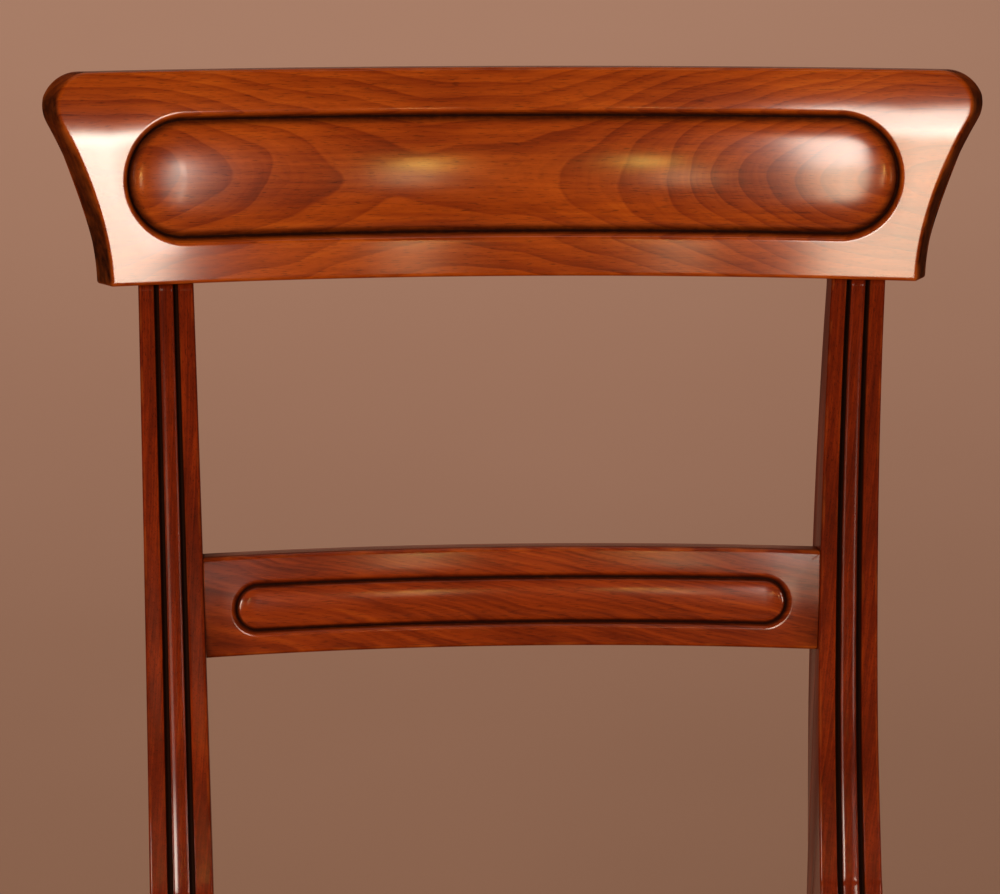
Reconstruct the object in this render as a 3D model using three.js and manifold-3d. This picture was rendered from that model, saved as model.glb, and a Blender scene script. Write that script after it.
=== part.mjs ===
// A mahogany dining chair of about 1835 with a panelled bar back, reeded uprights
// that sweep forward into the seat rails, sabre back legs, turned and reeded front
// legs and a drop-in seat.
// Millimetres, +X to the viewer's right, +Y to the back of the chair, +Z up.

import * as THREE from 'three';
import { mergeVertices } from 'three/addons/utils/BufferGeometryUtils.js';
import Module from 'manifold-3d';

const wasm = await Module();
wasm.setup();

// Sizes of the whole chair
const floorToRailTop = 433;
const railTopToCrest = 343;
const jointGap = 0.3;
const cutOverrun = 30;
const edgeSoftening = 1.2;
const backBendRadius = 528;

// Crest rail: a bent board that sits on the uprights and leans back
const crest = {
  height: 106.2, thickness: 20.5, rake: THREE.MathUtils.degToRad(14.6),
  bottomHalfLength: 207.7, endFlare: 26.3, flareHeight: 85, cornerRadius: 19.5,
  rollStart: 70, rollRadius: 130,
};
crest.foot = floorToRailTop + railTopToCrest;
const crestFlarePower = 1.8;
const crestPanel = {
  endCentre: 167, centreHeight: 52.5, radius: 33, moatWidth: 4.4, moatDepth: 4.6,
  moatWall: 2.6, lipWidth: 2.6, lipDrop: 1.1, fieldRise: 4.2,
};
// Shares of the way from the middle height of the crest rail's end to its shoulder or
// foot, of the turn round its shoulder, and of the run in to the panel's end
const crestRiseShares = [0.03, 0.5, 1];
const crestTurnShares = [0.3, 0.6, 0.8, 1];
const crestFallShares = [0.97, 0.72, 0.46, 0.22, 0];
const crestRunShares = [0.3, 0.65, 1];

// Mid rail: the narrow bent rail below it, tenoned between the uprights
const mid = {
  height: 51.5, thickness: 19, rake: THREE.MathUtils.degToRad(16.1),
  belowCrest: 187.2, forward: 46.8, frontCrown: 1.6,
  tenonLength: 16, tenonThickness: 8, tenonHeight: 34,
};
const midPanel = {
  endCentre: 131.5, centreHeight: 24.4, radius: 14, moatWidth: 3, moatDepth: 3,
  moatWall: 1.8, lipWidth: 1.8, lipDrop: 0.7, fieldRise: 2.7,
};
const midRiseShares = [0.53, 0.76, 1];
const midFallShares = [0.47, 0.24, 0];
const midRunShares = [0.2, 0.4, 0.6, 0.8, 1];

// Shares of the panel's field from its middle line out, and of the frame round it
const fieldRadiusShares = [0.1, 0.5, 0.8, 0.95, 1];
const frameShares = [0.45, 0.8];

// Back uprights: upper stile, knee and sabre leg cut from one plank
const stile = {
  setForward: 23.5, reach: 222.5, topDepth: 16.5, hipDepth: 45,
  topOuter: 189.3, topWidth: 27.7, hipWidth: 33, footWidth: 28, lean: 6.9,
  kneeRadius: 141, kneeHeight: 56, tenonWidth: 14, tenonDepth: 9, tenonHeight: 24,
};
const stileDropShares = [-0.06, 0, 0.114, 0.2855, 0.4569, 0.628, 0.7994];
const stileReachShares = [-0.0125, 0, 0.03, 0.0962, 0.1865, 0.301, 0.4544];
const kneeStart = THREE.MathUtils.degToRad(36);
const stileDepthPower = 1.1;
const sabre = {
  waistBack: 108, waistDrop: 357, frontSetback: 155, hipRadius: 30,
  footBack: 22, footDepth: 34, upperPull: 150, frontUpperPull: 105, lowerPull: 135,
};
const footAngle = THREE.MathUtils.degToRad(38);

// Reeding across the face of an upright and along the top of a side rail
const reed = { grooveDepth: 2.8, beadDrop: 0.2, shoulderDrop: 1.1 };
const reedShares = [0, 0.04, 0.275, 0.298, 0.352, 0.385, 0.43, 0.5,
  0.57, 0.615, 0.648, 0.702, 0.725, 0.96, 1];
const reedDrops = [edgeSoftening, 0, 0, reed.grooveDepth, reed.grooveDepth,
  reed.shoulderDrop, reed.beadDrop, 0, reed.beadDrop, reed.shoulderDrop,
  reed.grooveDepth, reed.grooveDepth, 0, 0, edgeSoftening];
const plainDrops = reedDrops.map((drop, i) => (i === 0 || i === reedDrops.length - 1 ? drop : 0));

// Seat rails and front legs
const seatPlan = { frontFace: 500, splay: THREE.MathUtils.degToRad(6) };
const rail = {
  height: 56, frontThickness: 26, backThickness: 24, frontRecess: 6,
  tenonLength: 11, tenonThickness: 9, tenonHeight: 34,
};
const leg = {
  block: 38, blockHeight: 70, radiusTop: 18, reedCount: 10, reedDepth: 1.5,
};

// Drop-in seat
const seat = {
  edgeGap: 1.6, barWidth: 42, barThickness: 18, bearerWidth: 12, bearerHeight: 20,
  aboveRail: 3, padHeight: 30, coverThickness: 1.6, webWidth: 48, webThickness: 1.4,
  webWave: 1.5, clothThickness: 0.8, barTenon: 20, barTenonThickness: 6,
  tuckWidth: 14, cornerRadius: 11, crownPower: 2.4, sideDrawnIn: 1.5,
};
const webbing = { across: 3, along: 3, pitchAcross: 70, pitchAlong: 80, steps: 24 };
const corner = {
  leg: 52, height: 30, screwRadius: 2, screwHead: 4, screwLength: 30, screwHeadHeight: 2.4,
  screwSides: 12,
};
const screwPlaceShares = [0.3, 0.68];

// How finely the curves are cut
const endSteps = 8;
const straightSteps = 14;
const frontSteps = 16;
const kneeSteps = 6;
const hipSteps = 5;
const legSteps = 10;
const edgeRoundSteps = 4;
const cornerSteps = 3;
const planSteps = [2, 5, 5, 5, 2, 5];
const crownSizeShares = [1, 0.95, 0.86, 0.72, 0.54, 0.3, 0];

// Colours of the wood, cloth and metal
const crestWood = new THREE.MeshStandardMaterial({ color: 0x8f4518, roughness: 0.28, metalness: 0 });
const frameWood = new THREE.MeshStandardMaterial({ color: 0x6a2410, roughness: 0.3, metalness: 0 });
const beech = new THREE.MeshStandardMaterial({ color: 0xb08a5c, roughness: 0.7, metalness: 0 });
const jute = new THREE.MeshStandardMaterial({ color: 0x9a7f56, roughness: 0.95, metalness: 0 });
const hair = new THREE.MeshStandardMaterial({ color: 0x4a3a2c, roughness: 1, metalness: 0 });
const leather = new THREE.MeshStandardMaterial({ color: 0x4a2a1a, roughness: 0.55, metalness: 0 });
const blackCloth = new THREE.MeshStandardMaterial({ color: 0x262220, roughness: 0.95, metalness: 0 });
const steel = new THREE.MeshStandardMaterial({ color: 0x7a7264, roughness: 0.45, metalness: 1 });

const chair = new THREE.Group();

// A geometry with its doubled points joined and the faces that this empties left out
function joined(geometry) {
  const plain = geometry.clone();
  plain.deleteAttribute('normal');
  plain.deleteAttribute('uv');
  const merged = mergeVertices(plain);
  const index = merged.index.array;
  const kept = [];
  for (let i = 0; i < index.length; i += 3) {
    const [a, b, c] = [index[i], index[i + 1], index[i + 2]];
    if (a !== b && b !== c && c !== a) kept.push(a, b, c);
  }
  merged.setIndex(kept);
  return merged;
}

// A closed geometry as a solid that can be cut and joined
function solidOf(geometry) {
  const merged = joined(geometry);
  return new wasm.Manifold(new wasm.Mesh({
    numProp: 3,
    vertProperties: new Float32Array(merged.attributes.position.array),
    triVerts: new Uint32Array(merged.index.array),
  }));
}

// The solid's surface as a geometry again
function geometryOf(solid) {
  const mesh = solid.getMesh();
  const geometry = new THREE.BufferGeometry();
  const points = [];
  for (let i = 0; i < mesh.vertProperties.length; i += mesh.numProp) {
    points.push(mesh.vertProperties[i], mesh.vertProperties[i + 1], mesh.vertProperties[i + 2]);
  }
  geometry.setAttribute('position', new THREE.Float32BufferAttribute(points, 3));
  geometry.setIndex(Array.from(mesh.triVerts));
  return geometry;
}

// One named piece of the chair
function addPiece(name, shape, material) {
  const geometry = shape.isBufferGeometry ? shape : geometryOf(shape);
  const flat = geometry.index ? geometry.toNonIndexed() : geometry;
  flat.computeVertexNormals();
  const mesh = new THREE.Mesh(flat, material);
  mesh.name = name;
  chair.add(mesh);
  return mesh;
}

// A box as a solid, given its lowest and highest corner and an optional placing matrix
function boxSolid(low, high, placing) {
  const size = new THREE.Vector3().subVectors(high, low);
  const geometry = new THREE.BoxGeometry(size.x, size.y, size.z);
  geometry.translate((low.x + high.x) / 2, (low.y + high.y) / 2, (low.z + high.z) / 2);
  if (placing) geometry.applyMatrix4(placing);
  return solidOf(geometry);
}

// Short form of a point
function at(x, y, z) {
  return new THREE.Vector3(x, y, z);
}

// A skin over a row of rings of equal count, with its first and last rings closed by caps.
// A cap is a list of corner triples into the ring.
function skin(rings, firstCap, lastCap) {
  const count = rings[0].length;
  const points = rings.flat().flatMap((p) => [p.x, p.y, p.z]);
  const index = [];
  for (let r = 0; r + 1 < rings.length; r++) {
    for (let i = 0; i < count; i++) {
      const j = (i + 1) % count;
      const a = r * count + i;
      const b = r * count + j;
      const c = a + count;
      const d = b + count;
      index.push(a, b, d, a, d, c);
    }
  }
  const last = (rings.length - 1) * count;
  for (const [a, b, c] of firstCap) index.push(a, c, b);
  for (const [a, b, c] of lastCap) index.push(last + a, last + b, last + c);
  const geometry = new THREE.BufferGeometry();
  geometry.setAttribute('position', new THREE.Float32BufferAttribute(points, 3));
  geometry.setIndex(index);
  return facingOut(geometry);
}

// The same geometry with its faces turned to point out
function facingOut(geometry) {
  const p = geometry.attributes.position;
  const index = geometry.index.array;
  let volume = 0;
  const [a, b, c] = [new THREE.Vector3(), new THREE.Vector3(), new THREE.Vector3()];
  for (let i = 0; i < index.length; i += 3) {
    a.fromBufferAttribute(p, index[i]);
    b.fromBufferAttribute(p, index[i + 1]);
    c.fromBufferAttribute(p, index[i + 2]);
    volume += a.dot(b.cross(c));
  }
  if (volume < 0) {
    for (let i = 0; i < index.length; i += 3) [index[i + 1], index[i + 2]] = [index[i + 2], index[i + 1]];
  }
  return geometry;
}

// Cap triangles of a ring from its flat outline, turned the way the outline runs
function capOf(outline) {
  const forward = THREE.ShapeUtils.area(outline) > 0;
  return THREE.ShapeUtils.triangulateShape(outline, []).map(([a, b, c]) => {
    const turn = THREE.ShapeUtils.area([outline[a], outline[b], outline[c]]) > 0;
    return turn === forward ? [a, b, c] : [a, c, b];
  });
}

// Cap triangles of a ring whose second half mirrors its first, as the rungs of a ladder
function ladderCap(count) {
  const triangles = [];
  for (let i = 0; i + 1 < count / 2; i++) {
    const j = count - 1 - i;
    triangles.push([i, i + 1, j], [i + 1, j - 1, j]);
  }
  return triangles;
}

// Bends a flat rail point (s along, v up, w behind the front face) round the sitter's
// back and leans it: arc length s turns it by s / R about an upright axis in front.
function bentPoint(s, v, w, rake, foot) {
  const turn = s / backBendRadius;
  const x = (backBendRadius + w) * Math.sin(turn);
  const y = (backBendRadius + w) * Math.cos(turn) - backBendRadius;
  return at(
    x,
    foot.y + v * Math.sin(rake) + y * Math.cos(rake),
    foot.z + v * Math.cos(rake) - y * Math.sin(rake),
  );
}

// A long loop with round ends, as flat points [s, v], from the left end over the top
// to the right and back along the bottom, mirrored top to bottom
function stadiumLoop(panel, radius) {
  const top = [];
  const bottom = [];
  const start = Math.PI / 2 / (2 * endSteps - 1);
  const put = (s, angle) => {
    const dv = radius * Math.sin(angle);
    const ds = radius * Math.cos(angle);
    top.push([s + ds, panel.centreHeight + dv]);
    bottom.push([s + ds, panel.centreHeight - dv]);
  };
  const turn = (i) => start + (Math.PI / 2 - start) * i / (endSteps - 1);
  for (let i = 0; i < endSteps; i++) put(-panel.endCentre, Math.PI - turn(i));
  for (let i = 1; i < straightSteps; i++) put(panel.endCentre * (2 * i / straightSteps - 1), Math.PI / 2);
  for (let i = endSteps - 1; i >= 0; i--) put(panel.endCentre, turn(i));
  return [...top, ...bottom.reverse()];
}

// A rail's outline from the same number of points, given the run of its right end
// upwards and downwards from the middle, inset all round by a softened edge
function outlineLoop(panel, height, upperEnd, lowerEnd, inset) {
  const pull = ([s, v]) => [s - Math.sign(s) * inset * (Math.abs(s) > panel.endCentre ? 1 : 0),
    Math.min(Math.max(v, inset), height - inset)];
  const straight = [];
  for (let i = 1; i < straightSteps; i++) straight.push(panel.endCentre * (2 * i / straightSteps - 1));
  const left = (points) => points.map(([s, v]) => [-s, v]);
  const top = [...left(upperEnd), ...straight.map((s) => [s, height]), ...[...upperEnd].reverse()];
  const bottom = [...left(lowerEnd), ...straight.map((s) => [s, 0]), ...[...lowerEnd].reverse()];
  return [...top, ...bottom.reverse()].map(pull);
}

// How far the front of a rail's frame falls back at a height: evenly to both edges for a
// crowned face, and along an arc for one that rolls back to its top
function frontFall(size, v) {
  const crown = (size.frontCrown || 0) * ((2 * v / size.height - 1) ** 2);
  const roll = size.rollRadius ? Math.max(v - size.rollStart, 0) ** 2 / (2 * size.rollRadius) : 0;
  return crown + roll;
}

// A panelled rail: a pillow-shaped field rises inside a dark moat that is sunk in the
// front face. Loops run from the field's middle line out over the edge to the back.
function panelledRail(size, panel, upperEnd, lowerEnd, rake, foot) {
  const fieldRadius = panel.radius - panel.moatWidth;
  const loops = fieldRadiusShares.map((share) => {
    const rise = panel.fieldRise * Math.sqrt(1 - share * share);
    return stadiumLoop(panel, fieldRadius * share).map(([s, v]) => [s, v, panel.moatDepth - rise]);
  });
  const front = (points, drop) => loops.push(points.map(([s, v]) => [s, v, frontFall(size, v) + drop]));
  front(stadiumLoop(panel, panel.radius - panel.moatWall), panel.moatDepth);
  front(stadiumLoop(panel, panel.radius), panel.lipDrop);
  const lip = stadiumLoop(panel, panel.radius + panel.lipWidth);
  front(lip, 0);
  const edge = (inset) => outlineLoop(panel, size.height, upperEnd, lowerEnd, inset);
  const flatEdge = edge(edgeSoftening);
  for (const share of frameShares) {
    front(lip.map(([s, v], i) => [s + (flatEdge[i][0] - s) * share, v + (flatEdge[i][1] - v) * share]), 0);
  }
  front(flatEdge, 0);
  front(edge(0), edgeSoftening);
  loops.push(edge(0).map(([s, v]) => [s, v, size.thickness - edgeSoftening]));
  loops.push(flatEdge.map(([s, v]) => [s, v, size.thickness]));
  const rings = loops.map((loop) => loop.map(([s, v, w]) => bentPoint(s, v, w, rake, foot)));
  const cap = ladderCap(rings[0].length);
  return solidOf(skin(rings, cap, cap));
}

// Half-length of the crest rail's front at a height, a hollow flare to its shoulder
function crestHalfLength(v) {
  return crest.bottomHalfLength + crest.endFlare * (v / crest.flareHeight) ** crestFlarePower;
}

// The crest rail's right end, from the middle up round the shoulder and from it down
function crestEnds() {
  const upper = [];
  const lower = [];
  const middle = crest.height / 2;
  const shoulder = crest.height - crest.cornerRadius;
  const rise = (share) => middle + (shoulder - middle) * share;
  for (const share of crestRiseShares) upper.push([crestHalfLength(rise(share)), rise(share)]);
  const centre = crestHalfLength(shoulder) - crest.cornerRadius;
  for (const turn of crestTurnShares) {
    const angle = turn * Math.PI / 2;
    const rounded = [Math.cos(angle), Math.sin(angle)].map((part) => part * crest.cornerRadius);
    upper.push([centre + rounded[0], shoulder + rounded[1]]);
  }
  upper.push([crestPanel.endCentre, crest.height]);
  for (const share of crestFallShares) lower.push([crestHalfLength(middle * share), middle * share]);
  for (const share of crestRunShares) {
    lower.push([crest.bottomHalfLength + (crestPanel.endCentre - crest.bottomHalfLength) * share, 0]);
  }
  return [upper, lower];
}

// Straight ends for the mid rail, longer than the gap that it fits
function midEnds(halfLength) {
  const upper = midRiseShares.map((share) => [halfLength, mid.height * share]);
  const lower = midFallShares.map((share) => [halfLength, mid.height * share]);
  for (const share of midRunShares) {
    const s = halfLength + (midPanel.endCentre - halfLength) * share;
    upper.push([s, mid.height]);
    lower.push([s, 0]);
  }
  return [upper, lower];
}

// Catmull-Rom curve through the stile's front edge, as [y, height below the crest rail]
const frontCurve = new THREE.SplineCurve(stileDropShares.map((drop, i) => new THREE.Vector2(
  -stile.setForward - stile.reach * stileReachShares[i],
  -drop * railTopToCrest,
)).concat([kneePoint(kneeStart)]));

// A point of the knee's arc, where the edge has turned by an angle from upright
function kneePoint(angle) {
  return new THREE.Vector2(
    -stile.setForward - stile.reach + stile.kneeRadius * Math.cos(angle),
    -railTopToCrest + stile.kneeRadius * (1 - Math.sin(angle)),
  );
}

// Depth of the stile from front to back at a drop below the crest rail
function stileDepth(drop) {
  const share = Math.max(drop / (railTopToCrest - hipHeight()), 0);
  return stile.topDepth + (stile.hipDepth - stile.topDepth) * share ** stileDepthPower;
}

// Height of the start of the knee above the rail top
function hipHeight() {
  return stile.kneeRadius * (1 - Math.sin(kneeStart));
}

// The side outline of an upright, as [y, z from the crest's foot] with how far each point
// carries the reeding, from the top of the front edge round to the top of the back edge
function uprightOutline() {
  const outline = [];
  const put = (y, z, reeding) => outline.push({ y, z, reeding });
  for (let i = 0; i <= frontSteps; i++) {
    const p = frontCurve.getPoint(i / frontSteps);
    put(p.x, p.y, 1);
  }
  for (let i = 1; i <= kneeSteps; i++) {
    const p = kneePoint(kneeStart + (Math.PI / 2 - kneeStart) * i / kneeSteps);
    put(p.x, p.y, 1);
  }
  const kneeEnd = -stile.setForward - stile.reach;
  const underKnee = -railTopToCrest - stile.kneeHeight;
  put(kneeEnd, underKnee, 0);
  for (let i = 0; i <= hipSteps; i++) {
    const angle = Math.PI / 2 * i / hipSteps;
    put(-sabre.frontSetback - sabre.hipRadius * (1 - Math.sin(angle)),
      underKnee - sabre.hipRadius * (1 - Math.cos(angle)), 0);
  }
  const floor = -crest.foot;
  const footTop = (back) => new THREE.Vector2(back - sabre.lowerPull * Math.sin(footAngle),
    floor + sabre.lowerPull * Math.cos(footAngle));
  const legFront = new THREE.CubicBezierCurve(
    new THREE.Vector2(-sabre.frontSetback, underKnee - sabre.hipRadius),
    new THREE.Vector2(-sabre.frontSetback, underKnee - sabre.hipRadius - sabre.frontUpperPull),
    footTop(sabre.footBack - sabre.footDepth),
    new THREE.Vector2(sabre.footBack - sabre.footDepth, floor),
  );
  const legBack = new THREE.CubicBezierCurve(
    new THREE.Vector2(sabre.footBack, floor),
    footTop(sabre.footBack),
    new THREE.Vector2(-sabre.waistBack, -sabre.waistDrop - sabre.upperPull),
    new THREE.Vector2(-sabre.waistBack, -sabre.waistDrop),
  );
  for (let i = 1; i <= legSteps; i++) {
    const p = legFront.getPoint(i / legSteps);
    put(p.x, p.y, 0);
  }
  for (let i = 0; i <= legSteps; i++) {
    const p = legBack.getPoint(i / legSteps);
    put(p.x, p.y, 0);
  }
  for (let i = frontSteps - 1; i >= 0; i--) {
    const p = frontCurve.getPoint(i / frontSteps);
    put(p.x + stileDepth(-p.y), p.y, 0);
  }
  return outline;
}

// Width of an upright across its face at a height from the crest's foot
function uprightWidth(z) {
  const above = Math.min(-z / railTopToCrest, 1);
  const below = Math.max((-z - railTopToCrest) / floorToRailTop, 0);
  return stile.topWidth + (stile.hipWidth - stile.topWidth) * above
    + (stile.footWidth - stile.hipWidth) * below;
}

// Distance of an upright's outer face from the middle of the chair at that height
function uprightOuter(z) {
  return stile.topOuter + stile.lean * z / crest.foot;
}

// An upright before its joints are cut. Its outline is carried across the face, drawn in
// along each point's normal by the reeding, and closed by the two flat sides.
function uprightBlank(side) {
  const outline = uprightOutline();
  const count = outline.length;
  const rings = reedShares.map((share, k) => outline.map((point, i) => {
    const before = outline[(i + count - 1) % count];
    const after = outline[(i + 1) % count];
    const first = i === 0 || (point.reeding && !before.reeding) ? point : before;
    const last = point.reeding && !after.reeding ? point : after;
    const along = new THREE.Vector2(last.y - first.y, last.z - first.z).normalize();
    const drop = point.reeding ? reedDrops[k] : plainDrops[k];
    const x = uprightOuter(point.z) - uprightWidth(point.z) * share;
    return at(side * x, point.y - along.y * drop, crest.foot + point.z + along.x * drop);
  }));
  const cap = capOf(outline.map((p) => new THREE.Vector2(p.y, p.z)));
  return solidOf(skin(rings, cap, cap));
}

// Places shared by the joints
const kneeEndY = -stile.setForward - stile.reach;
const kneeOuter = uprightOuter(-railTopToCrest);
const kneeInner = kneeOuter - stile.hipWidth;
const kneeMiddle = kneeOuter - stile.hipWidth / 2;
const railBottom = floorToRailTop - rail.height;
const railMiddle = floorToRailTop - rail.height / 2;
const blockBackY = -seatPlan.frontFace + leg.block;
const frontRailBackY = -seatPlan.frontFace + rail.frontRecess + rail.frontThickness;
const backRailFrontY = -sabre.waistBack - rail.frontRecess / 2 - rail.backThickness;
const splayRise = Math.tan(seatPlan.splay);
const blockInner = kneeInner + splayRise * (kneeEndY - blockBackY);
const legX = blockInner + leg.block / 2;
const legY = -seatPlan.frontFace + leg.block / 2;

// Inner face of a side rail or knee, as distance from the middle at a depth y
function railInner(y) {
  return kneeInner + splayRise * Math.max(kneeEndY - y, 0);
}

// A box of given middle and half sizes grown by a clearance
function blockAt(middle, half, clearance, placing) {
  const grown = at(half.x + clearance, half.y + clearance, half.z + clearance);
  return boxSolid(middle.clone().sub(grown), middle.clone().add(grown), placing);
}

// Tenons, each as a middle and half sizes; the same sizes cut their mortises
const tenonHalf = (length, thickness, height) => at(length / 2, thickness / 2, height / 2);
const tenonMiddle = rail.tenonLength / 2 - jointGap;
const frontRailTenon = (side) => ({
  middle: at(side * (blockInner + tenonMiddle), frontRailBackY - rail.frontThickness / 2, railMiddle),
  half: tenonHalf(rail.tenonLength + 2 * jointGap, rail.tenonThickness, rail.tenonHeight),
});
const backRailTenon = (side) => ({
  middle: at(side * (kneeInner + tenonMiddle), backRailFrontY + rail.backThickness / 2, railMiddle),
  half: tenonHalf(rail.tenonLength + 4 * jointGap, rail.tenonThickness, rail.tenonHeight),
});
const sideBackTenon = (side) => ({
  middle: at(side * kneeMiddle, kneeEndY + tenonMiddle, railMiddle),
  half: at(rail.tenonThickness / 2, rail.tenonLength / 2 + jointGap, rail.tenonHeight / 2),
});
const sideFrontTenon = (side) => ({
  middle: at(side * (blockInner + stile.hipWidth / 2), blockBackY - tenonMiddle, railMiddle),
  half: at(rail.tenonThickness / 2, rail.tenonLength / 2 + jointGap, rail.tenonHeight / 2),
});
const solidTenon = ({ middle, half }) => blockAt(middle, half, 0);
const mortise = ({ middle, half }) => blockAt(middle, half, jointGap);

// The tenon on top of an upright, leaning as the crest rail does
function stileTenon(side, clearance) {
  const topX = uprightOuter(0) - stile.topWidth / 2;
  const bend = backBendRadius - Math.sqrt(backBendRadius ** 2 - topX ** 2);
  const lean = new THREE.Matrix4().makeRotationX(-crest.rake);
  lean.setPosition(0, 0, crest.foot);
  const middle = at(side * topX, -bend + crest.thickness / 2, 0);
  const half = at(stile.tenonWidth / 2, stile.tenonDepth / 2, stile.tenonHeight);
  return blockAt(middle, half, clearance, lean);
}

const midFoot = at(0, -mid.forward, crest.foot - mid.belowCrest);
const midEndX = uprightOuter(-mid.belowCrest) - uprightWidth(-mid.belowCrest);

// The mid rail's tenon at one side, leaning as the rail does
function midTenon(side, clearance) {
  const bend = backBendRadius - Math.sqrt(backBendRadius ** 2 - midEndX ** 2);
  const lean = new THREE.Matrix4().makeRotationX(-mid.rake);
  lean.setPosition(midFoot);
  const middle = at(side * midEndX, -bend + mid.thickness / 2, mid.height / 2);
  return blockAt(middle, at(mid.tenonLength, mid.tenonThickness / 2, mid.tenonHeight / 2), clearance, lean);
}

// Everything between the two uprights' inner faces, less a gap, as a slab to trim rails
function betweenUprights() {
  const low = -mid.belowCrest - cutOverrun;
  const high = -mid.belowCrest + mid.height + cutOverrun;
  const inner = (z) => uprightOuter(z) - uprightWidth(z) - jointGap;
  const ring = (y) => [at(-inner(low), y, crest.foot + low), at(inner(low), y, crest.foot + low),
    at(inner(high), y, crest.foot + high), at(-inner(high), y, crest.foot + high)];
  const cap = [[0, 1, 2], [0, 2, 3]];
  return solidOf(skin([ring(-seatPlan.frontFace), ring(seatPlan.frontFace)], cap, cap));
}

// Everything above the crest rail's sloping underside, less a gap
function aboveCrestFoot() {
  const lean = new THREE.Matrix4().makeRotationX(-crest.rake);
  lean.setPosition(0, 0, crest.foot - jointGap);
  const reach = seatPlan.frontFace;
  return boxSolid(at(-reach, -reach, 0), at(reach, reach, crest.height), lean);
}

function buildBack() {
  const [upper, lower] = crestEnds();
  let crestRail = panelledRail(crest, crestPanel, upper, lower, crest.rake, at(0, 0, crest.foot));
  const midHalf = backBendRadius * Math.asin(midEndX / backBendRadius) + mid.tenonLength;
  const [midUpper, midLower] = midEnds(midHalf);
  let midRail = panelledRail(mid, midPanel, midUpper, midLower, mid.rake, midFoot);
  midRail = midRail.intersect(betweenUprights());
  for (const side of [-1, 1]) {
    crestRail = crestRail.subtract(stileTenon(side, jointGap));
    midRail = midRail.add(midTenon(side, 0));
  }
  addPiece('crest_rail', crestRail, crestWood);
  addPiece('mid_rail', midRail, frameWood);
}

function buildUpright(side, name, holes) {
  let upright = uprightBlank(side).subtract(aboveCrestFoot()).add(stileTenon(side, 0));
  upright = upright.subtract(midTenon(side, jointGap));
  upright = upright.subtract(mortise(sideBackTenon(side))).subtract(mortise(backRailTenon(side)));
  for (const hole of holes) upright = upright.subtract(hole);
  addPiece(`${name}_back_upright`, upright, frameWood);
}

// A side rail: the knee's reeded section carried forward and outward to the leg block
function buildSideRail(side, name, holes) {
  const section = (y) => {
    const outer = kneeOuter + splayRise * (kneeEndY - y);
    const across = (share) => side * (outer - stile.hipWidth * share);
    const top = reedShares.map((share, k) => at(across(share), y, floorToRailTop - reedDrops[k]));
    const inner = outer - stile.hipWidth;
    return [...top, at(side * inner, y, railBottom + edgeSoftening),
      at(side * (inner + edgeSoftening), y, railBottom),
      at(side * (outer - edgeSoftening), y, railBottom),
      at(side * outer, y, railBottom + edgeSoftening)];
  };
  const rings = [section(kneeEndY - jointGap), section(blockBackY + jointGap)];
  const cap = capOf(rings[0].map((p) => new THREE.Vector2(p.x, p.z)));
  let piece = solidOf(skin(rings, cap, cap));
  piece = piece.add(solidTenon(sideBackTenon(side))).add(solidTenon(sideFrontTenon(side)));
  for (const hole of holes) piece = piece.subtract(hole);
  addPiece(`${name}_side_rail`, piece, frameWood);
}

// A straight rail with its upper front edge rounded
function straightRail(halfLength, frontY, backY) {
  const r = rail.frontRecess;
  const outline = [new THREE.Vector2(backY, railBottom), new THREE.Vector2(backY, floorToRailTop)];
  for (let i = 0; i <= edgeRoundSteps; i++) {
    const angle = Math.PI / 2 * (1 + i / edgeRoundSteps);
    const y = frontY + r + r * Math.cos(angle);
    outline.push(new THREE.Vector2(y, floorToRailTop - r + r * Math.sin(angle)));
  }
  outline.push(new THREE.Vector2(frontY, railBottom));
  const ring = (x) => outline.map((p) => at(x, p.x, p.y));
  const cap = capOf(outline);
  return solidOf(skin([ring(-halfLength), ring(halfLength)], cap, cap));
}

function buildCrossRails(frontHoles, backHoles) {
  let front = straightRail(blockInner - jointGap, frontRailBackY - rail.frontThickness, frontRailBackY);
  const backHalf = uprightOuter(-railTopToCrest - rail.height) - stile.hipWidth - jointGap;
  const backLow = at(-backHalf, backRailFrontY, railBottom);
  let back = boxSolid(backLow, at(backHalf, backRailFrontY + rail.backThickness, floorToRailTop));
  for (const side of [-1, 1]) {
    front = front.add(solidTenon(frontRailTenon(side)));
    back = back.add(solidTenon(backRailTenon(side)));
  }
  for (const hole of frontHoles) front = front.subtract(hole);
  for (const hole of backHoles) back = back.subtract(hole);
  addPiece('front_rail', front, frameWood);
  addPiece('back_rail', back, frameWood);
}

// Turned leg: radius shares of the top radius at height shares of the turned part, from
// the block down, and the share of the reeds' full depth there
const legHeightShares = [1, 0.985, 0.97, 0.95, 0.935, 0.925, 0.9, 0.87, 0.855, 0.845, 0.83, 0.8,
  0.5, 0.17, 0.145, 0.135, 0.12, 0.105, 0.1, 0.06, 0.02, 0];
const legRadiusShares = [1.02, 1.06, 1.02, 0.84, 0.84, 1.02, 1.12, 1.02, 0.84, 0.84, 0.92, 0.98,
  0.86, 0.68, 0.62, 0.7, 0.74, 0.7, 0.58, 0.66, 0.56, 0.5];
const legReedShares = [0, 0, 0, 0, 0, 0, 0, 0, 0, 0, 0.2, 1,
  1, 1, 0.2, 0, 0, 0, 0, 0, 0, 0];

// A square block with its edges planed off
function softBlock(middle, half, low, high) {
  const ring = (inset, z) => {
    const outer = half - inset;
    const inner = outer - edgeSoftening;
    return [[outer, inner], [inner, outer], [-inner, outer], [-outer, inner],
      [-outer, -inner], [-inner, -outer], [inner, -outer], [outer, -inner]]
      .map(([x, y]) => at(middle.x + x, middle.y + y, z));
  };
  const rings = [ring(edgeSoftening, low), ring(0, low + edgeSoftening),
    ring(0, high - edgeSoftening), ring(edgeSoftening, high)];
  const cap = capOf(rings[0].map((p) => new THREE.Vector2(p.x, p.y)));
  return solidOf(skin(rings, cap, cap));
}

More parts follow.
